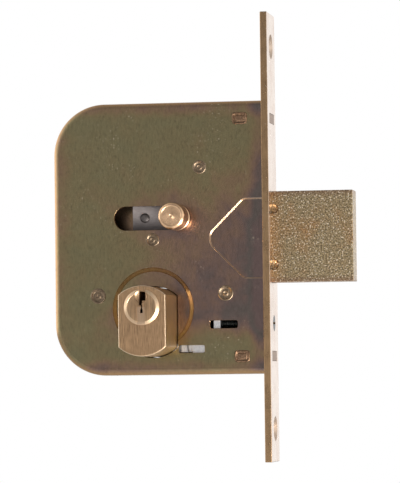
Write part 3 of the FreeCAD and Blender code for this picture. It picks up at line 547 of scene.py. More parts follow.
def film_group(finishes):
    """Interference colours of a chromate film, which lies thicker round openings, with a painted gold sheen
    on faces turned away from the front.
    """
    tree, entry, leave = new_group(
        "Passivation film",
        [("Position", "NodeSocketVector", None), ("Facing", "NodeSocketVector", None),
         ("Shift", "NodeSocketFloat", 0.0)],
        [("Color", "NodeSocketColor"), ("Thickness", "NodeSocketFloat"), ("Dish", "NodeSocketFloat")])
    position = entry.outputs["Position"]
    broad = noise(tree, position, 30.0, 3.0, 0.5, 0.8)
    cloud = noise(tree, position, 110.0, 4.0, 0.6, 0.4)
    streaks = add_node(tree, "ShaderNodeMapping")
    streaks.inputs["Scale"].default_value = (1.0, 1.0, 0.12)
    feed(tree, position, streaks.inputs["Vector"])
    drip = noise(tree, streaks.outputs["Vector"], 130.0, 3.0, 0.6)
    flat = vector_node(tree, "MULTIPLY", position, (1.0, 0.0, 1.0))
    seat = vector_node(tree, "DISTANCE", flat, (PLUG_AXIS[0] * MM, 0.0, PLUG_AXIS[1] * MM))
    halo_seat = ramp(tree, times(tree, seat, 25.0), [(0.42, 1.0), (0.55, 0.55), (0.95, 0.0)])
    slot_middle = ((KNOB_AXIS[0] - 11.0) * MM, 0.0, KNOB_AXIS[1] * MM)
    near = vector_node(tree, "MULTIPLY", vector_node(tree, "SUBTRACT", flat, slot_middle), (0.62, 0.0, 1.0))
    halo_slot = ramp(tree, times(tree, vector_node(tree, "LENGTH", near), 40.0),
                     [(0.28, 1.0), (0.55, 0.35), (0.9, 0.0)])
    across = split(tree, position)
    toward_face = map_range(tree, across["X"], (-0.055, 0.0))
    toward_top = map_range(tree, across["Z"], (0.055, 0.005))
    lower_right = times(tree, toward_face, toward_top)
    lower_right = times(tree, lower_right, edge_band(tree, across["Z"], -0.0500, -0.0330))
    thick = plus(tree, times(tree, broad, 0.62), times(tree, cloud, 0.42))
    thick = plus(tree, thick, times(tree, drip, 0.12))
    halos = ((halo_seat, 0.28), (halo_slot, 0.30), (lower_right, 0.62),
             (edge_band(tree, across["X"], -0.0800, -0.0875), 0.22),
             (edge_band(tree, across["Z"], 0.0490, 0.0555), 0.30),
             (edge_band(tree, across["Z"], -0.0490, -0.0550), 0.30),
             (edge_band(tree, across["X"], -0.0080, -0.0015), 0.30))
    for halo, strength in halos:
        thick = plus(tree, thick, times(tree, halo, strength))
    thick = plus(tree, thick, entry.outputs["Shift"])
    thick = math_node(tree, "SUBTRACT", thick, 0.43)
    stops = [(0.14, tuple(finishes.film_green)), (0.34, tuple(finishes.film_olive)),
             (0.50, tuple(finishes.film_brown)), (0.66, tuple(finishes.film_violet)),
             (0.80, tuple(finishes.film_slate)), (1.0, tuple(finishes.film_violet))]
    plain = ramp(tree, thick, stops)
    # Faces turned away from the front, on the folds and the drawn walls, are painted gold: a painted sheen
    # for the light they catch.
    upright = split(tree, entry.outputs["Facing"])
    leaning = ramp(tree, size_of(tree, upright["Y"]), [(0.70, 1.0), (0.93, 0.0)])
    gold = tuple(finishes.fold_sheen_gold)
    at_seat = ramp(tree, times(tree, seat, 25.0), [(0.44, 1.0), (0.475, 0.0)])
    patchy = ramp(tree, cloud, [(0.42, 0.0), (0.60, 1.0)])
    # Painted highlight: the wall of the dished seat is painted near-white gold.
    painted_seat_highlight = mix_colour(tree, patchy, (0.98, 0.76, 0.54), (0.88, 0.78, 0.42))
    painted_wall_sheen = mix_colour(tree, at_seat, gold, painted_seat_highlight)
    # Painted highlight: inside the pressing the drawn walls are painted near-white gold.
    inside = times(tree, edge_band(tree, across["X"], -0.0280, -0.0265),
                       edge_band(tree, size_of(tree, across["Z"]), 0.0200, 0.0185))
    painted_wall_sheen = mix_colour(tree, inside, painted_wall_sheen, (0.97, 0.74, 0.52))
    feed(tree, mix_colour(tree, leaning, plain, painted_wall_sheen), leave.inputs["Color"])
    feed(tree, thick, leave.inputs["Thickness"])
    feed(tree, times(tree, leaning, at_seat), leave.inputs["Dish"])
    return tree


def use_group(tree, group, **values):
    made = add_node(tree, "ShaderNodeGroup", node_tree=group)
    for label, value in values.items():
        socket = made.inputs[label]
        if isinstance(value, (int, float, tuple)):
            socket.default_value = value
        else:
            feed(tree, value, socket)
    return made


def start_material(name, metallic=1.0, roughness=0.35):
    material = bpy.data.materials.new(name)
    material.use_nodes = True
    tree = material.node_tree
    surface = tree.nodes["Principled BSDF"]
    surface.inputs["Metallic"].default_value = metallic
    surface.inputs["Roughness"].default_value = roughness
    position = add_node(tree, "ShaderNodeTexCoord").outputs["Object"]
    return material, tree, surface, position


def set_bump(tree, surface, height, strength, distance):
    bump = add_node(tree, "ShaderNodeBump")
    bump.inputs["Strength"].default_value = strength
    bump.inputs["Distance"].default_value = distance
    feed(tree, height, bump.inputs["Height"])
    feed(tree, bump.outputs["Normal"], surface.inputs["Normal"])


def passivated(name, groups, shift, low, high):
    """Sheet steel under the film, its roughness drifting between low and high."""
    material, tree, surface, position = start_material(name)
    facing = add_node(tree, "ShaderNodeTexCoord").outputs["Normal"]
    film = use_group(tree, groups["film"], Position=position, Facing=facing, Shift=shift)
    marks = use_group(tree, groups["marks"], Position=position, Amount=1.0)
    grain = use_group(tree, groups["grain"], Position=position, Stretch=(1.0, 1.0, 0.35), Scale=1500.0)
    tint = mottled(tree, film.outputs["Color"], grain, 0.86, 1.13, 0.35)
    tint = stain(tree, tint, grain.outputs["Pits"], 0.16, (0.10, 0.08, 0.055))
    tint = stain(tree, tint, marks.outputs["Mask"], 0.16, (0.60, 0.48, 0.34))
    tint = stain(tree, tint, marks.outputs["Specks"], 0.55, (0.85, 0.72, 0.55))
    feed(tree, tint, surface.inputs["Base Color"])
    rough = map_range(tree, noise(tree, position, 90.0, 4.0), target=(low, high))
    dull = times(tree, film.outputs["Dish"], 0.30)
    feed(tree, plus(tree, rough, dull), surface.inputs["Roughness"])
    set_bump(tree, surface, grain.outputs["Height"], 0.10, 0.00006)
    return material


def brushed(name, groups, base, stretch, rough, contrast=0.25, pit=(0.10, 0.07, 0.05), metallic=1.0,
            strength=0.18, scratches=0.6, tarnish_and_edge_highlight=0.0, scale=2900.0, ring_highlight_centre=None):
    """Brushed or ground metal, its lines running along the axis whose stretch is smallest."""
    material, tree, surface, position = start_material(name, metallic, rough)
    grain = use_group(tree, groups["grain"], Position=position, Stretch=stretch, Scale=scale)
    marks = use_group(tree, groups["marks"], Position=position, Amount=scratches)
    wide = noise(tree, position, 110.0, 4.0, 0.6)
    dark = shade(base, 1.0 - contrast)
    light = shade(base, 1.0 + contrast)
    lit = ramp(tree, grain.outputs["Height"], [(0.45, 0.0), (0.95, 1.0)], False)
    tint = mix_colour(tree, lit, dark, light)
    tint = stain(tree, tint, wide, 0.10, dark)
    tint = stain(tree, tint, grain.outputs["Pits"], 0.25, pit)
    tint = stain(tree, tint, marks.outputs["Mask"], 0.5, light)
    if tarnish_and_edge_highlight:
        side = split(tree, add_node(tree, "ShaderNodeTexCoord").outputs["Normal"])
        away = ramp(tree, size_of(tree, side["Y"]), [(0.30, 1.0), (0.70, 0.0)])
        spots = ramp(tree, noise(tree, position, 230.0, 5.0, 0.7), [(0.40, 0.25), (0.62, 1.0)])
        cover = times(tree, times(tree, away, spots), tarnish_and_edge_highlight)
        tint = mix_colour(tree, cover, tint, (base[0] * 0.94, base[1] * 1.00, base[2] * 0.66))
        # Painted highlight: the chamfer round the end face, half turned from the front, is painted pale
        # gold.
        rim = ramp(tree, size_of(tree, side["Y"]),
                   [(0.40, 0.0), (0.55, 1.0), (0.86, 1.0), (0.95, 0.0)])
        tint = stain(tree, tint, rim, 0.80, (1.0, 0.80, 0.58))
    # Painted highlight: the plug's bevelled head, the ring beyond 6.25 mm from this centre, is painted pale
    # brass.
    if ring_highlight_centre:
        off = vector_node(tree, "SUBTRACT", position, ring_highlight_centre)
        flat = vector_node(tree, "MULTIPLY", off, (1.0, 0.0, 1.0))
        reach = times(tree, vector_node(tree, "LENGTH", flat), 100.0)
        ring = ramp(tree, reach, [(0.600, 0.0), (0.625, 1.0)])
        tint = stain(tree, tint, ring, 0.70, (0.95, 0.71, 0.47))
        away = split(tree, off)
        off_line = size_of(tree, plus(tree, away["X"], 0.0002))
        band = times(tree, edge_band(tree, off_line, 0.00175, 0.00160),
                         edge_band(tree, away["Z"], 0.0003, -0.0002))
        tint = stain(tree, tint, band, 0.70, (0.55, 0.385, 0.26))
    feed(tree, tint, surface.inputs["Base Color"])
    spread = map_range(tree, grain.outputs["Height"], target=(rough * 0.8, rough * 1.3))
    feed(tree, spread, surface.inputs["Roughness"])
    set_bump(tree, surface, grain.outputs["Height"], strength, 0.0001)
    return material


def pale_sheen_plate(name, groups, base):
    """Faceplate film: yellow on the narrow sides, painted pale in patches on the outer face as a painted
    reflection of the bright room, streaked lengthwise.
    """
    material, tree, surface, position = start_material(name, 1.0, 0.27)
    grain = use_group(tree, groups["grain"], Position=position, Stretch=(1.0, 1.0, 0.10), Scale=2600.0)
    marks = use_group(tree, groups["marks"], Position=position, Amount=1.4)
    facing = split(tree, add_node(tree, "ShaderNodeTexCoord").outputs["Normal"])
    outer = ramp(tree, facing["X"], [(0.45, 0.0), (0.90, 1.0)])
    cloud = noise(tree, position, 95.0, 4.0, 0.65)
    blotches = ramp(tree, cloud, [(0.36, 0.0), (0.56, 1.0)])
    side = mix_colour(tree, blotches, shade(base, 0.80), shade(base, 1.02))
    # Painted reflection: the outer face, seen at a grazing angle, is painted pale for the bright room it
    # mirrors.
    pale = mix_colour(tree, blotches, (0.66, 0.50, 0.40), (0.80, 0.70, 0.62))
    tint = mix_colour(tree, outer, side, pale)
    tint = mottled(tree, tint, grain, 0.90, 1.10)
    tint = stain(tree, tint, grain.outputs["Pits"], 0.25, (0.14, 0.09, 0.06))
    tint = stain(tree, tint, marks.outputs["Specks"], 0.5, (0.85, 0.74, 0.62))
    feed(tree, tint, surface.inputs["Base Color"])
    feed(tree, map_range(tree, cloud, target=(0.20, 0.36)), surface.inputs["Roughness"])
    set_bump(tree, surface, grain.outputs["Height"], 0.12, 0.00008)
    return material


def tail_steel(name, groups, base):
    """Dull sheet of the bolt's tail, painted lighter at the top and darker towards its lower edge: painted
    light and a painted shadow of the slot's lower edge.
    """
    material, tree, surface, position = start_material(name, 0.75, 0.48)
    grain = use_group(tree, groups["grain"], Position=position, Stretch=(0.4, 1.0, 1.0), Scale=1600.0)
    parts = split(tree, position)
    height = math_node(tree, "SUBTRACT", parts["Z"], KNOB_AXIS[1] * MM)
    # Painted light and shade: lighter towards the top, darker towards the lower edge, where the slot's
    # lower edge casts its shadow.
    painted_light_top = edge_band(tree, plus(tree, height, times(tree, grain.outputs["Height"], 0.001)),
                      -0.0035, 0.0045)
    tint = mix_colour(tree, painted_light_top, shade(base, 0.50), shade(base, 1.45))
    tint = mottled(tree, tint, grain, 0.88, 1.12)
    feed(tree, tint, surface.inputs["Base Color"])
    set_bump(tree, surface, grain.outputs["Height"], 0.2, 0.00008)
    return material


def grained(name, groups, base, rough, scale):
    """Coarse, speckled surface of the bolt: dark pits, bright crystals and red-gold patches."""
    material, tree, surface, position = start_material(name, 1.0, rough)
    grain = use_group(tree, groups["grain"], Position=position, Stretch=(1.0, 1.0, 0.75), Scale=scale)
    marks = use_group(tree, groups["marks"], Position=position, Amount=1.0)
    base = tuple(base)
    dark, light = shade(base, 0.38), shade(base, 1.75)
    red = (min(1.0, base[0] * 1.30), base[1] * 0.90, base[2] * 0.66)
    speckle = noise(tree, position, scale, 2.0, 0.7)
    crystals = ramp(tree, speckle, [(0.38, 0.0), (0.64, 1.0)], False)
    tint = mix_colour(tree, crystals, dark, light)
    patches = ramp(tree, noise(tree, position, 75.0, 5.0, 0.65), [(0.50, 0.0), (0.68, 0.80)])
    parts = split(tree, position)
    at_plate = edge_band(tree, parts["X"], 0.0120, 0.0040)
    at_edge = edge_band(tree, size_of(tree, parts["Z"]), 0.0160, 0.0190)
    warm = math_node(tree, "MAXIMUM", patches, times(tree, at_plate, 0.60))
    tint = mix_colour(tree, warm, tint, mix_colour(tree, crystals, shade(red, 0.5),
                                                   shade(red, 1.5)))
    tint = stain(tree, tint, at_edge, 0.40, (0.20, 0.09, 0.07))
    glint = ramp(tree, noise(tree, position, 1700.0, 0.0), [(0.66, 0.0), (0.74, 1.0)], False)
    tint = stain(tree, tint, glint, 0.9, (1.0, 0.88, 0.70))
    tint = stain(tree, tint, marks.outputs["Mask"], 0.45, (0.80, 0.64, 0.46))
    feed(tree, tint, surface.inputs["Base Color"])
    set_bump(tree, surface, grain.outputs["Height"], 0.30, 0.00010)
    return material


def lathe_turned(name, groups, base, rough, axis_point, axis):
    """Metal with the rings that a lathe tool leaves round an axis."""
    material, tree, surface, position = start_material(name, 1.0, rough)
    keep = tuple(0.0 if letter == axis else 1.0 for letter in "XYZ")
    out = vector_node(tree, "MULTIPLY", vector_node(tree, "SUBTRACT", position, tuple(axis_point)), keep)
    away = vector_node(tree, "LENGTH", out)
    along = split(tree, position)
    reach = plus(tree, away, times(tree, along["XYZ".index(axis)], 0.7))
    wobble = noise(tree, position, 300.0, 2.0)
    reach = plus(tree, reach, times(tree, wobble, 0.00006))
    rings = math_node(tree, "SINE", times(tree, reach, 2.0 * math.pi / 0.00016))
    height = times(tree, rings, 0.35)
    grain = use_group(tree, groups["grain"], Position=position, Stretch=(1.0, 1.0, 1.0), Scale=1400.0)
    base = tuple(base)
    dark = shade(base, 0.84)
    light = shade(base, 1.08)
    patches = noise(tree, position, 420.0, 4.0, 0.65)
    tint = mix_colour(tree, ramp(tree, patches, [(0.35, 0.0), (0.65, 1.0)], False), dark, light)
    tint = stain(tree, tint, grain.outputs["Pits"], 0.35, (0.12, 0.07, 0.04))
    feed(tree, tint, surface.inputs["Base Color"])
    set_bump(tree, surface, plus(tree, height, times(tree, grain.outputs["Height"], 0.5)),
             0.22, 0.00004)
    return material


def threaded(name, base, rough):
    """Blackened screw with the ridges of its thread along X."""
    material, tree, surface, position = start_material(name, 0.9, rough)
    parts = split(tree, position)
    ridge = math_node(tree, "SINE", times(tree, parts["X"], 2.0 * math.pi / 0.0008))
    inside = math_node(tree, "LESS_THAN", parts["X"], 0.0012)
    ridge = times(tree, ridge, inside)
    # Painted highlight: the crests of the thread are painted lighter than its roots.
    light = shade(base, 2.0)
    tint = mix_colour(tree, ramp(tree, plus(tree, times(tree, ridge, 0.5), 0.5),
                                 [(0.3, 0.0), (1.0, 1.0)], False), base, light)
    tint = mix_colour(tree, ramp(tree, noise(tree, position, 700.0, 3.0), [(0.5, 0.0), (0.75, 0.6)], False),
                      tint, shade(base, 3.0))
    feed(tree, tint, surface.inputs["Base Color"])
    set_bump(tree, surface, ridge, 0.6, 0.0002)
    return material


MATERIALS = {}
EVEN = (1.0, 1.0, 1.0)


def finish_named(name):
    """Make every finish once, then hand out the one asked for."""
    if not MATERIALS:
        finishes = bpy.context.scene.lock_finishes
        groups = {"grain": grain_group(), "marks": scratch_group(), "film": film_group(finishes)}
        steel = tuple(finishes.dull_steel)
        dull_brass = tuple(finishes.cylinder_brass)
        knob_point = (KNOB_AXIS[0] * MM, 0.0, KNOB_AXIS[1] * MM)
        plug_point = (PLUG_AXIS[0] * MM, 0.0, PLUG_AXIS[1] * MM)
        hammered = {"pit": (0.06, 0.035, 0.02), "strength": 0.5, "scratches": 2.0, "scale": 1700.0}
        MATERIALS.update({
            "case": passivated("Passivated case", groups, 0.0, 0.15, 0.27),
            "cover": passivated("Passivated cover", groups, 0.07, 0.20, 0.34),
            "faceplate": pale_sheen_plate("Passivated faceplate", groups, tuple(finishes.plate_metal)),
            "tenon": brushed("Peened tenon", groups, (0.30, 0.185, 0.115), EVEN, 0.34, 0.45, **hammered),
            "stake": brushed("Staked post", groups, (0.27, 0.195, 0.130), EVEN, 0.34, 0.40, **hammered),
            "bolt": grained("Grained bolt", groups, finishes.bolt_metal, 0.36, scale=1500.0),
            "tail": tail_steel("Dull tail plate", groups, steel),
            "stud": brushed("Dark stud", groups, shade(steel, 0.45), EVEN, 0.45,
                            metallic=0.8),
            "inner": brushed("Dull inner steel", groups, steel, EVEN, 0.42),
            "spring": brushed("Oiled spring steel", groups, (0.30, 0.30, 0.32), (0.1, 1.0, 0.1), 0.3),
            # The cylinder carries tarnish on its sides and a painted highlight on its end chamfer.
            "cylinder": brushed("Brushed cylinder brass", groups, shade(dull_brass, 0.98),
                                (1.0, 1.0, 0.030), 0.36, 0.45, (0.10, 0.07, 0.05),
                                strength=0.25, tarnish_and_edge_highlight=0.75, scale=5600.0),
            # The plug carries a painted highlight ring on its bevelled head.
            "plug": brushed("Brushed plug brass", groups, shade(dull_brass, 0.92),
                            (1.0, 1.0, 0.06), 0.34, 0.34, strength=0.25, scale=2600.0, ring_highlight_centre=plug_point),
            "knob": lathe_turned("Turned knob brass", groups, finishes.brass, 0.24, knob_point, "Y"),
            "small_brass": lathe_turned("Turned small brass", groups, finishes.brass, 0.3, plug_point, "Z"),
            "zinc": brushed("Bright zinc", groups, (0.80, 0.80, 0.82), (1.0, 1.0, 0.3), 0.3, 0.12,
                            (0.35, 0.35, 0.36)),
            "screw": threaded("Blackened screw", (0.045, 0.05, 0.05), 0.35),
        })
    return MATERIALS[name]


# ------------------------------------------------------------------ shared shapes

SOFT_LIP = ((0.05, 0.03), (0.08, 0.12), (0.02, 0.10))
PRESS_Z = -0.55
PRESS_HALF = 17.1
PRESS_CORNER = -25.6
PRESS_WALL = ((0.08, 0.02), (0.10, 0.07), (0.09, 0.14), (0.08, 0.28), (0.07, 0.22), (0.09, 0.12),
              (0.11, 0.05))
SEAT_WALL = ((0.22, 0.03), (0.34, 0.14), (0.50, 0.30), (0.46, 0.28), (0.34, 0.14), (0.26, 0.05))
TAB_END = ((0.16, 0.15), (0.26, 0.05), (0.20, -0.12), (0.12, -0.45), (0.35, -0.10), (0.30, 0.16),
           (0.25, 0.05))
# x from and to, middle height and half height of the two windows
WINDOWS = ((-23.3, -11.2, -36.7, 1.80), (-36.9, -25.4, -46.95, 1.75))
# left, foot, right and head of each step of the key way, from the plug's axis
KEYWAY = ((-0.9, 2.7, 1.8, 8.2), (-0.9, 0.6, 0.3, 3.1), (-0.2, -1.1, 0.35, 0.8), (-0.5, -2.5, 0.55, -0.9))
FIXING_HOLE_Z = 81.0
CLAMP_SCREW_Z = -36.4
TENON_BLOCKS = ("upper_tenon_block", "lower_tenon_block")


def post_spot(node):
    """Axis (x, z) and radius of a post."""
    low, high = node_box(node)
    return *axis_of(low, high), (high.x - low.x) / 2


STAKE_SPOTS = {node: post_spot(node)
               for node in ("spring_post", "bolt_guide_post", "rear_pillar", "front_pillar")}


def stake_radius(node):
    return 2.2 if STAKE_SPOTS[node][2] < 3.0 else 2.6


def tab_middle(node):
    """Middle height of a tenon block; its tabs come through both plates."""
    low, high = node_box(node)
    return (low.z + high.z) / 2


def pressing_tool(name, level, way):
    """Cutter for the bolt pressing: a wedge with two rounded shoulders and a rounded nose."""
    outer, inner = sorted((level, level - way))
    tool = add_block(name, (-30.0, outer, PRESS_Z - PRESS_HALF), (3.0, inner, PRESS_Z + PRESS_HALF))
    for lean in (1, -1):
        slice_off(tool, (PRESS_CORNER, 0, PRESS_Z), Vector((-1, 0, lean)).normalized())
    round_uprights(tool, lambda x, z: same(x, PRESS_CORNER, 0.2), 5.8, 16)
    round_uprights(tool, lambda x, z: same(x, PRESS_CORNER + PRESS_HALF, 0.2), 1.25, 8)
    return sink(tool, level, way, PRESS_WALL)


def open_plate(obj, level, way, sheet):
    """Cut the post holes and tab windows through a plate."""
    low, high = sorted((level - way, level + way * (sheet + 0.6)))
    for node, (x, z, _) in STAKE_SPOTS.items():
        cut(obj, add_rod("Hole", "Y", (x, z), stake_radius(node) + 0.05, low, high, 48))
    for node in TENON_BLOCKS:
        middle = tab_middle(node)
        hole = add_block("Hole", (-12.85, low, middle - 2.60), (-6.25, high, middle + 2.60))
        round_uprights(hole, lambda x, z: True, 1.3, 2)
        cut(obj, hole)


# ------------------------------------------------------------------ operators


class LOCK_OT_case(bpy.types.Operator):
    """Build the drawn front case with its pressing, dished seat, slot and windows"""

    bl_idname = "lock.case"
    bl_label = "Front case"

    def execute(self, context):
        sizes = context.scene.lock_sizes
        sheet, fold = sizes.sheet / MM, sizes.fold_radius / MM
        front, top, rear = CASE_LOW.y, CASE_HIGH.z, CASE_LOW.x
        case = add_block("Case", CASE_LOW, CASE_HIGH)
        round_uprights(case, lambda x, z: same(x, rear), sizes.case_corner / MM, 28)
        pick_edges(case, lambda a, b: same(a.y, front) and same(b.y, front)
                   and not (same(a.x, CASE_HIGH.x) and same(b.x, CASE_HIGH.x)))
        bpy.ops.mesh.bevel(offset=fold * MM, segments=8, profile=0.5, affect="EDGES")
        leave_edit()
        pick_faces(case, lambda c, n: n.y > 0.9 or n.x > 0.9)
        bpy.ops.mesh.delete(type="FACE")
        leave_edit()
        apply_modifier(case, "SOLIDIFY", thickness=sheet * MM, offset=-1.0, use_even_offset=True)
        boss = add_rod("Boss", "Y", PLUG_AXIS, sizes.seat_radius / MM + 1.2, front + 1.2,
                       front + sheet + sizes.seat_depth / MM, 128)
        fuse(case, boss)
        seat = add_rod("Seat", "Y", PLUG_AXIS, sizes.seat_radius / MM, front - 1.0, front, 128)
        sink(seat, front, 1, SEAT_WALL)
        cut(case, seat)
        cut(case, pressing_tool("Press", front, 1))
        cut(case, add_oval("Hole", BODY_AXIS, 15.2, 10.5, front - 1.0, front + 4.5))
        slot = add_capsule("Slot", KNOB_AXIS[0] - 22.2, KNOB_AXIS[0] + 0.2, KNOB_AXIS[1], 5.22,
                           front - 1.0, front)
        cut(case, sink(slot, front, 1, SOFT_LIP, 2.0))
        for x_low, x_high, level, high in WINDOWS:
            window = add_block("Window", (x_low, front - 1.0, level - high), (x_high, front, level + high))
            round_uprights(window, lambda x, z: True, 0.9, 5)
            cut(case, sink(window, front, 1, SOFT_LIP, 2.0))
        open_plate(case, front, 1, sheet)
        even_out(case)
        hand_over(case, "case_tray", "case", "zinc_passivate", "case", "front_case")
        return {"FINISHED"}


class LOCK_OT_cover(bpy.types.Operator):
    """Build the flat back cover with the same bolt pressing"""

    bl_idname = "lock.cover"
    bl_label = "Back cover"

    def execute(self, context):
        sizes = context.scene.lock_sizes
        back = COVER_HIGH.y
        cover = add_block("Cover", (COVER_LOW.x, back - sizes.sheet / MM, COVER_LOW.z), COVER_HIGH)
        round_uprights(cover, lambda x, z: same(x, COVER_LOW.x), sizes.case_corner / MM, 28)
        pick_edges(cover, lambda a, b: same(a.y, back) and same(b.y, back)
                   and not (same(a.x, COVER_HIGH.x) and same(b.x, COVER_HIGH.x)))
        bpy.ops.mesh.bevel(offset=0.35 * MM, segments=3, profile=0.5, affect="EDGES")
        leave_edit()
        cut(cover, pressing_tool("Press", back, -1))
        cut(cover, add_oval("Hole", BODY_AXIS, 14.97, 10.22, back - 3.0, back + 1.0))
        open_plate(cover, back, -1, sizes.sheet / MM)
        even_out(cover, 12.0)
        hand_over(cover, "cover_plate", "case", "zinc_passivate", "cover", "back_cover")
        return {"FINISHED"}


class LOCK_OT_faceplate(bpy.types.Operator):
    """Build the long faceplate with countersunk holes and the openings for bolt, tenons and screw"""

    bl_idname = "lock.faceplate"
    bl_label = "Faceplate"

    def execute(self, context):
        sizes = context.scene.lock_sizes
        plate = add_block("Plate", FACE_LOW, FACE_HIGH)
        break_edges(plate, sizes.edge_break / MM, 3)
        cut(plate, add_block("Hole", (-1, -6.15, -19.35), (4, 6.15, 19.35)))
        for middle in (FIXING_HOLE_Z, -FIXING_HOLE_Z):
            sunk = [(-1.0, 3.0), (0.7, 3.0), (3.0, 5.3), (4.0, 6.3)]
            cut(plate, turned("Sink", "X", (0.0, middle), sunk, 64))
        for node in TENON_BLOCKS:
            middle = tab_middle(node)
            cut(plate, add_block("Hole", (-1, -6.55, middle - 2.15), (4, 6.55, middle + 2.15)))
        stepped = [(-1.0, 2.7), (1.3, 2.7), (1.3, 3.35), (4.0, 3.35)]
        cut(plate, turned("Seat", "X", (0.0, CLAMP_SCREW_Z), stepped, 48))
        even_out(plate, 12.0)
        hand_over(plate, "forend_plate", "case", "faceplate_steel", "faceplate", "faceplate")
        for node in TENON_BLOCKS:
            middle = tab_middle(node)
            block = add_block("Block", (-14.0, -6.98, middle - 4.5), (-0.02, 6.98, middle + 4.5))
            break_edges(block, 0.3)
            tab = add_block("Tab", (-12.80, -8.5, middle - 2.55), (-6.30, 8.5, middle + 2.55))
            round_uprights(tab, lambda x, z: True, 1.3, 2)
            for way in (-1, 1):
                sink(tab, 8.5 * way, way, TAB_END)
            fuse(block, tab)
            tenon = add_block("Tenon", (-0.5, -6.5, middle - 2.1), (3.0, 6.5, middle + 2.1))
            break_edges(tenon, 0.25, 2)
            fuse(block, tenon)
            even_out(block, 20.0)
            hand_over(block, node.replace("block", "piece"), "case", "tenon_steel", "tenon", node)
        return {"FINISHED"}


class LOCK_OT_posts(bpy.types.Operator):
    """Build the posts and pillars with their upset, staked ends"""

    bl_idname = "lock.posts"
    bl_label = "Posts and pillars"

    def execute(self, context):
        for node, (x, z, radius) in STAKE_SPOTS.items():
            spigot = stake_radius(node)
            end = 8.5
            half = [(0.0, radius), (6.9, radius), (6.98, radius - 0.1), (6.98, spigot), (end, spigot),
                    (end + 0.02, spigot + 0.70), (end + 0.12, spigot + 0.56), (end + 0.20, spigot + 0.30),
                    (end + 0.14, spigot + 0.06), (end - 0.10, spigot - 0.10), (end - 0.22, spigot - 0.24),
                    (end - 0.26, 1.15), (end - 0.12, 0.95), (end - 0.10, 0.85), (end - 0.26, 0.65),
                    (end - 0.26, 0.2)]
            profile = [(-station, size) for station, size in reversed(half)] + half[1:]
            post = turned("Post", "Y", (x, z), profile, 56)
            even_out(post, 50.0)
            hand_over(post, node + "_staked", "case", "post_steel", "stake", node)
        return {"FINISHED"}


class LOCK_OT_bolt(bpy.types.Operator):
    """Build the rectangular bolt with its sloped rear and two sunk dimples"""

    bl_idname = "lock.bolt"
    bl_label = "Bolt"

    def execute(self, context):
        sizes = context.scene.lock_sizes
        bolt = add_block("Bolt", BOLT_LOW, BOLT_HIGH)
        corner = (BOLT_LOW.x + 12.0, 0, BOLT_HIGH.z)
        slice_off(bolt, corner, Vector((-1, 0, 1)).normalized())
        slice_off(bolt, (corner[0], 0, BOLT_LOW.z), Vector((-1, 0, -1)).normalized())
        break_edges(bolt, sizes.edge_break / MM, 3)
        cut(bolt, add_block("Slot", (BOLT_LOW.x - 1, -4.02, -20.0), (-5.0, -0.98, 20.0)))
        for z in (8.0, -8.0):
            cut(bolt, add_rod("Hole", "Y", (-11.5, z), 2.5, -7.0, 7.0, 48))
        for z in (11.8, -11.8):
            steps = [(-7.0, 2.45), (-6.02, 2.25), (-5.86, 2.12), (-5.55, 1.75), (-5.36, 1.2), (-5.3, 0.5)]
            cut(bolt, turned("Dimple", "Y", (3.9, z), steps, 48))
        even_out(bolt, 12.0)
        hand_over(bolt, "dead_bolt", "bolt", "bolt_steel", "bolt", "bolt_head")
        dress("bolt_rivets", "stake")
        dress("bolt_tail", "tail")
        return {"FINISHED"}


class LOCK_OT_knob(bpy.types.Operator):
    """Build the turned thumb knob, its stem and the round stud beside it"""

    bl_idname = "lock.knob"
    bl_label = "Thumb knob"

    def execute(self, context):
        tip, foot, full = KNOB_LOW.y, KNOB_HIGH.y, (KNOB_HIGH.x - KNOB_LOW.x) / 2
        profile = [
            (foot, full - 0.35), (foot - 0.25, full - 0.05), (foot - 0.7, full), (foot - 1.2, full - 0.1),
            (foot - 1.5, full - 0.5), (foot - 2.2, full - 0.62), (foot - 3.2, full - 0.45),
            (foot - 3.6, full - 0.08), (foot - 4.0, full), (tip + 1.1, full), (tip + 0.72, full - 0.10),
            (tip + 0.36, full - 0.38), (tip + 0.12, full - 0.74), (tip, full - 1.05),
            (tip + 0.02, full - 1.22),
            (tip + 0.16, full - 1.42), (tip + 0.19, full - 1.70), (tip + 0.19, 0.9), (tip + 0.12, 0.75),
            (tip + 0.19, 0.6), (tip + 0.30, 0.12),
        ]
        knob = turned("Knob", "Y", KNOB_AXIS, profile, 96)
        even_out(knob, 40.0)
        hand_over(knob, "thumb_knob", "bolt", "turned_brass", "knob", "knob")
        collar = [(-4.0, 4.5), (-4.2, 4.8), (-8.7, 4.8), (-8.95, 4.5), (-8.98, 2.4), (-9.0, 2.4)]
        stem = turned("Stem", "Y", KNOB_AXIS, collar, 64)
        even_out(stem, 40.0)
        hand_over(stem, "knob_collar", "bolt", "tail_steel", "tail", "knob_stem")
        dome = [(-1.0, 1.5), (-3.98, 1.5), (-3.98, 2.05), (-4.3, 2.02), (-4.62, 1.85), (-4.88, 1.5),
                (-5.03, 1.0), (-5.09, 0.4)]
        stud = turned("Stud", "Y", STUD_AXIS, dome, 48)
        even_out(stud, 60.0)
        hand_over(stud, "tail_stud_domed", "bolt", "tail_steel", "stud", "tail_stud")
        return {"FINISHED"}


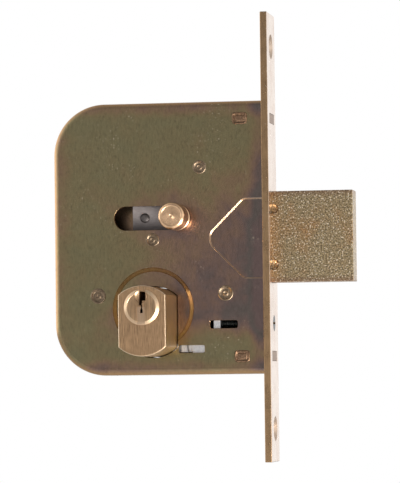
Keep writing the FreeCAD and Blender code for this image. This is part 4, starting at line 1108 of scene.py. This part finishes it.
class LOCK_OT_cylinder(bpy.types.Operator):
    """Build the oval cylinder body and its two plugs with bevelled heads and key ways"""

    bl_idname = "lock.cylinder"
    bl_label = "Profile cylinder"

    def execute(self, context):
        sizes = context.scene.lock_sizes
        radius = (BODY_HIGH.z - BODY_LOW.z) / 2
        half = (BODY_HIGH.x - BODY_LOW.x) / 2
        body = add_oval("Body", BODY_AXIS, radius, half, BODY_LOW.y, BODY_HIGH.y, 160)
        pick_edges(body, lambda a, b: same(a.y, b.y) and (same(a.y, BODY_LOW.y) or same(a.y, BODY_HIGH.y)))
        bpy.ops.mesh.bevel(offset=sizes.cylinder_edge, segments=3, profile=0.5, affect="EDGES")
        leave_edit()
        cut(body, add_block("Gap", (-68.0, -5.0, -43.9), (-26.0, 5.0, -10.0)))
        cut(body, add_rod("Bore", "Y", PLUG_AXIS, 6.53, -40.0, 40.0, 96))
        cut(body, add_block("Notch", (-40.0, -7.3, -48.4), (-30.0, -3.3, -44.6)))
        even_out(body, 12.0)
        hand_over(body, "profile_cylinder", "case", "cylinder_brass", "cylinder", "cylinder_body")
        for name, way in (("front", -1), ("rear", 1)):
            tip = 36.2
            profile = [(4.0, 6.3), (4.15, 6.47), (35.03, 6.47), (35.03, 7.35), (35.10, 7.50), (35.22, 7.52),
                       (35.34, 7.46), (tip - 0.14, 6.42), (tip - 0.04, 6.30), (tip - 0.02, 6.20),
                       (tip - 0.10, 6.10),
                       (tip - 0.13, 5.98), (tip - 0.13, 0.4)]
            plug = turned("Plug", "Y", PLUG_AXIS, [(station * way, size) for station, size in profile], 112)
            x, z = PLUG_AXIS
            near, far = sorted((9.0 * way, 37.0 * way))
            for left, foot, right, head in KEYWAY:
                cut(plug, add_block("Key", (x + left, near, z + foot), (x + right, far, z + head)))
            near, far = sorted(((tip - 0.42) * way, 37.0 * way))
            cut(plug, add_block("Groove", (x - 1.85, near, z - 9.0), (x + 1.45, far, z + 0.6)))
            dish = [(37.5, 2.95), (tip - 0.05, 2.85), (tip - 0.35, 2.6), (tip - 0.70, 2.1),
                    (tip - 0.92, 1.2), (tip - 0.98, 0.4)]
            tool = turned("Dish", "Y", (x, z + 4.5), [(station * way, size) for station, size in dish], 56)
            cut(plug, tool)
            even_out(plug, 13.0)
            hand_over(plug, name + "_plug_head", name + "_plug", "plug_brass", "plug", name + "_plug")
        return {"FINISHED"}


class LOCK_OT_clamp(bpy.types.Operator):
    """Build the bright slide that locks the cylinder in place"""

    bl_idname = "lock.clamp"
    bl_label = "Cylinder clamp"

    def execute(self, context):
        front, back = CLAMP_LOW.y, CLAMP_LOW.y + 1.7
        plate = add_block("Clamp", (-33.0, front, CLAMP_LOW.z), (CLAMP_HIGH.x, back, CLAMP_HIGH.z))
        slice_off(plate, (-24.0, 0, CLAMP_LOW.z), Vector((8.0, 0, -5.0)).normalized())
        slice_off(plate, (-33.0, 0, -44.9), Vector((-5.3, 0, 11.2)).normalized())
        fuse(plate, add_block("Nose", (CLAMP_LOW.x, front + 0.15, -48.2), (-31.0, front + 3.2, -44.8)))
        fuse(plate, add_block("Tab", (-21.8, front + 0.15, -41.0), CLAMP_HIGH))
        cut(plate, add_rod("Step", "Z", (-36.9, front + 0.7), 1.25, -49.0, -44.0, 40))
        groove = add_rod("Groove", "Z", (-31.7, front + 0.9), 1.35, -49.5, -43.5, 40)
        pick_points(groove, lambda p: p.z > -46.5)
        bpy.ops.transform.translate(value=(-0.9 * MM, 0.0, 0.0))
        leave_edit()
        cut(plate, groove)
        cut(plate, add_rod("Thread", "X", (0.0, CLAMP_SCREW_Z), 2.5, -23.0, -18.0, 40))
        even_out(plate, 12.0)
        hand_over(plate, "clamp_slide", "cylinder_clamp", "bright_zinc", "zinc", "cylinder_clamp")
        return {"FINISHED"}


class LOCK_OT_inner(bpy.types.Operator):
    """Give the screw, springs, pins and other inner parts of the frame their finishes"""

    bl_idname = "lock.inner"
    bl_label = "Inner parts"

    def execute(self, context):
        for node, name in {
            "clamp_screw": "screw", "brake_spring": "spring", "cam": "inner",
            "cam_coupler": "inner", "front_circlip": "spring", "rear_circlip": "spring",
            "front_pin_springs": "spring", "rear_pin_springs": "spring", "front_key_pins": "small_brass",
            "rear_key_pins": "small_brass", "front_driver_pins": "small_brass",
            "rear_driver_pins": "small_brass", "chamber_caps": "small_brass", "drill_pins": "inner",
        }.items():
            dress(node, name)
        return {"FINISHED"}


class LOCK_OT_stage(bpy.types.Operator):
    """Set the floor, the studio light and the camera"""

    bl_idname = "lock.stage"
    bl_label = "Studio"

    def execute(self, context):
        scene = context.scene
        scene.view_settings.view_transform = "Standard"
        clear_selection()
        bpy.ops.mesh.primitive_plane_add(size=6.0, location=(0.0, 0.0, -0.35))
        floor = context.object
        floor.name = "floor"
        pale = bpy.data.materials.new("Pale floor")
        pale.use_nodes = True
        pale.node_tree.nodes["Principled BSDF"].inputs["Base Color"].default_value = (0.9, 0.9, 0.9, 1.0)
        pale.node_tree.nodes["Principled BSDF"].inputs["Roughness"].default_value = 0.8
        floor.data.materials.append(pale)
        self.light_room(scene)
        for name, place, size, power, tint in (
            ("Low light", (0.33, -0.24, -0.33), 0.34, 6.5, (1.0, 0.97, 0.92)),
            ("Key light", (0.24, -0.62, -0.31), 0.26, 2.5, (1.0, 0.97, 0.92)),
        ):
            lamp = bpy.data.lights.new(name, "AREA")
            lamp.size = size
            lamp.energy = power
            lamp.color = tint
            holder = bpy.data.objects.new(name, lamp)
            scene.collection.objects.link(holder)
            holder.location = place
            aim = Vector((-0.03, 0.0, 0.0)) - Vector(place)
            holder.rotation_euler = aim.to_track_quat("-Z", "Y").to_euler()
        self.set_camera(scene)
        return {"FINISHED"}

    def light_room(self, scene):
        """Bright room with two darker screens, one before the lock and one above it."""
        world = bpy.data.worlds.new("Studio")
        scene.world = world
        world.use_nodes = True
        tree = world.node_tree
        tree.nodes.clear()
        out = add_node(tree, "ShaderNodeOutputWorld")
        room = add_node(tree, "ShaderNodeBackground")
        seen = add_node(tree, "ShaderNodeBackground")
        seen.inputs["Color"].default_value = (1.0, 1.0, 1.0, 1.0)
        direction = add_node(tree, "ShaderNodeTexCoord").outputs["Generated"]
        parts = split(tree, direction)
        before = times(tree, parts["Y"], -1.0)
        screen = ramp(tree, before, [(0.20, 1.0), (0.62, 0.62), (0.95, 0.36)])
        above = ramp(tree, parts["Z"], [(0.15, 1.0), (0.65, 0.50), (1.0, 0.36)])
        left = math_node(tree, "MAXIMUM", times(tree, parts["X"], -1.0), 0.0)
        right = math_node(tree, "MAXIMUM", parts["X"], 0.0)
        side = plus(tree, times(tree, left, 1.0), 1.10)
        side = plus(tree, side, times(tree, right, 0.25))
        level = times(tree, times(tree, screen, above), side)
        feed(tree, level, room.inputs["Color"])
        path = add_node(tree, "ShaderNodeLightPath")
        blend = add_node(tree, "ShaderNodeMixShader")
        feed(tree, path.outputs["Is Camera Ray"], blend.inputs[0])
        feed(tree, room.outputs[0], blend.inputs[1])
        feed(tree, seen.outputs[0], blend.inputs[2])
        feed(tree, blend.outputs[0], out.inputs["Surface"])

    def set_camera(self, scene):
        azimuth, elevation, roll = math.radians(9.58), math.radians(-2.50), math.radians(-0.68)
        back = Vector((math.sin(azimuth) * math.cos(elevation), -math.cos(azimuth) * math.cos(elevation),
                       math.sin(elevation)))
        right = (-back).cross(Vector((0, 0, 1))).normalized()
        up = right.cross(-back)
        tilted = right * math.cos(roll) + up * math.sin(roll)
        upright = up * math.cos(roll) - right * math.sin(roll)
        lens = bpy.data.cameras.new("Camera")
        lens.lens = 250.8
        lens.sensor_width = 36.0
        lens.clip_start = 0.05
        lens.clip_end = 50.0
        camera = bpy.data.objects.new("Camera", lens)
        scene.collection.objects.link(camera)
        distance, shift_right, shift_up = 1.4307, -0.003390, -0.001268
        target = Vector((-25.0, 0.0, 0.0)) * MM
        place = target + back * distance + tilted * shift_right + upright * shift_up
        turn = Matrix((tilted, upright, back)).transposed().to_4x4()
        camera.matrix_world = Matrix.Translation(place) @ turn
        scene.camera = camera


class LOCK_PT_panel(bpy.types.Panel):
    """Sidebar panel of the lock builder"""

    bl_idname = "LOCK_PT_panel"
    bl_label = "Cased deadlock"
    bl_space_type = "VIEW_3D"
    bl_region_type = "UI"
    bl_category = "Lock"

    def draw(self, context):
        layout = self.layout
        for group in (context.scene.lock_sizes, context.scene.lock_finishes):
            box = layout.box()
            for name in group.__annotations__:
                box.prop(group, name)
        for piece in PIECES:
            layout.operator(piece.bl_idname)


PIECES = (LOCK_OT_case, LOCK_OT_cover, LOCK_OT_faceplate, LOCK_OT_posts, LOCK_OT_bolt, LOCK_OT_knob,
          LOCK_OT_cylinder, LOCK_OT_clamp, LOCK_OT_inner, LOCK_OT_stage)
CLASSES = (LockSizes, LockFinishes, *PIECES, LOCK_PT_panel)


def register():
    for item in CLASSES:
        bpy.utils.register_class(item)
    bpy.types.Scene.lock_sizes = PointerProperty(type=LockSizes)
    bpy.types.Scene.lock_finishes = PointerProperty(type=LockFinishes)


def unregister():
    del bpy.types.Scene.lock_finishes
    del bpy.types.Scene.lock_sizes
    for item in reversed(CLASSES):
        bpy.utils.unregister_class(item)


def main():
    register()
    for piece in PIECES:
        getattr(bpy.ops.lock, piece.bl_idname.split(".")[1])()


if __name__ == "__main__":
    main()
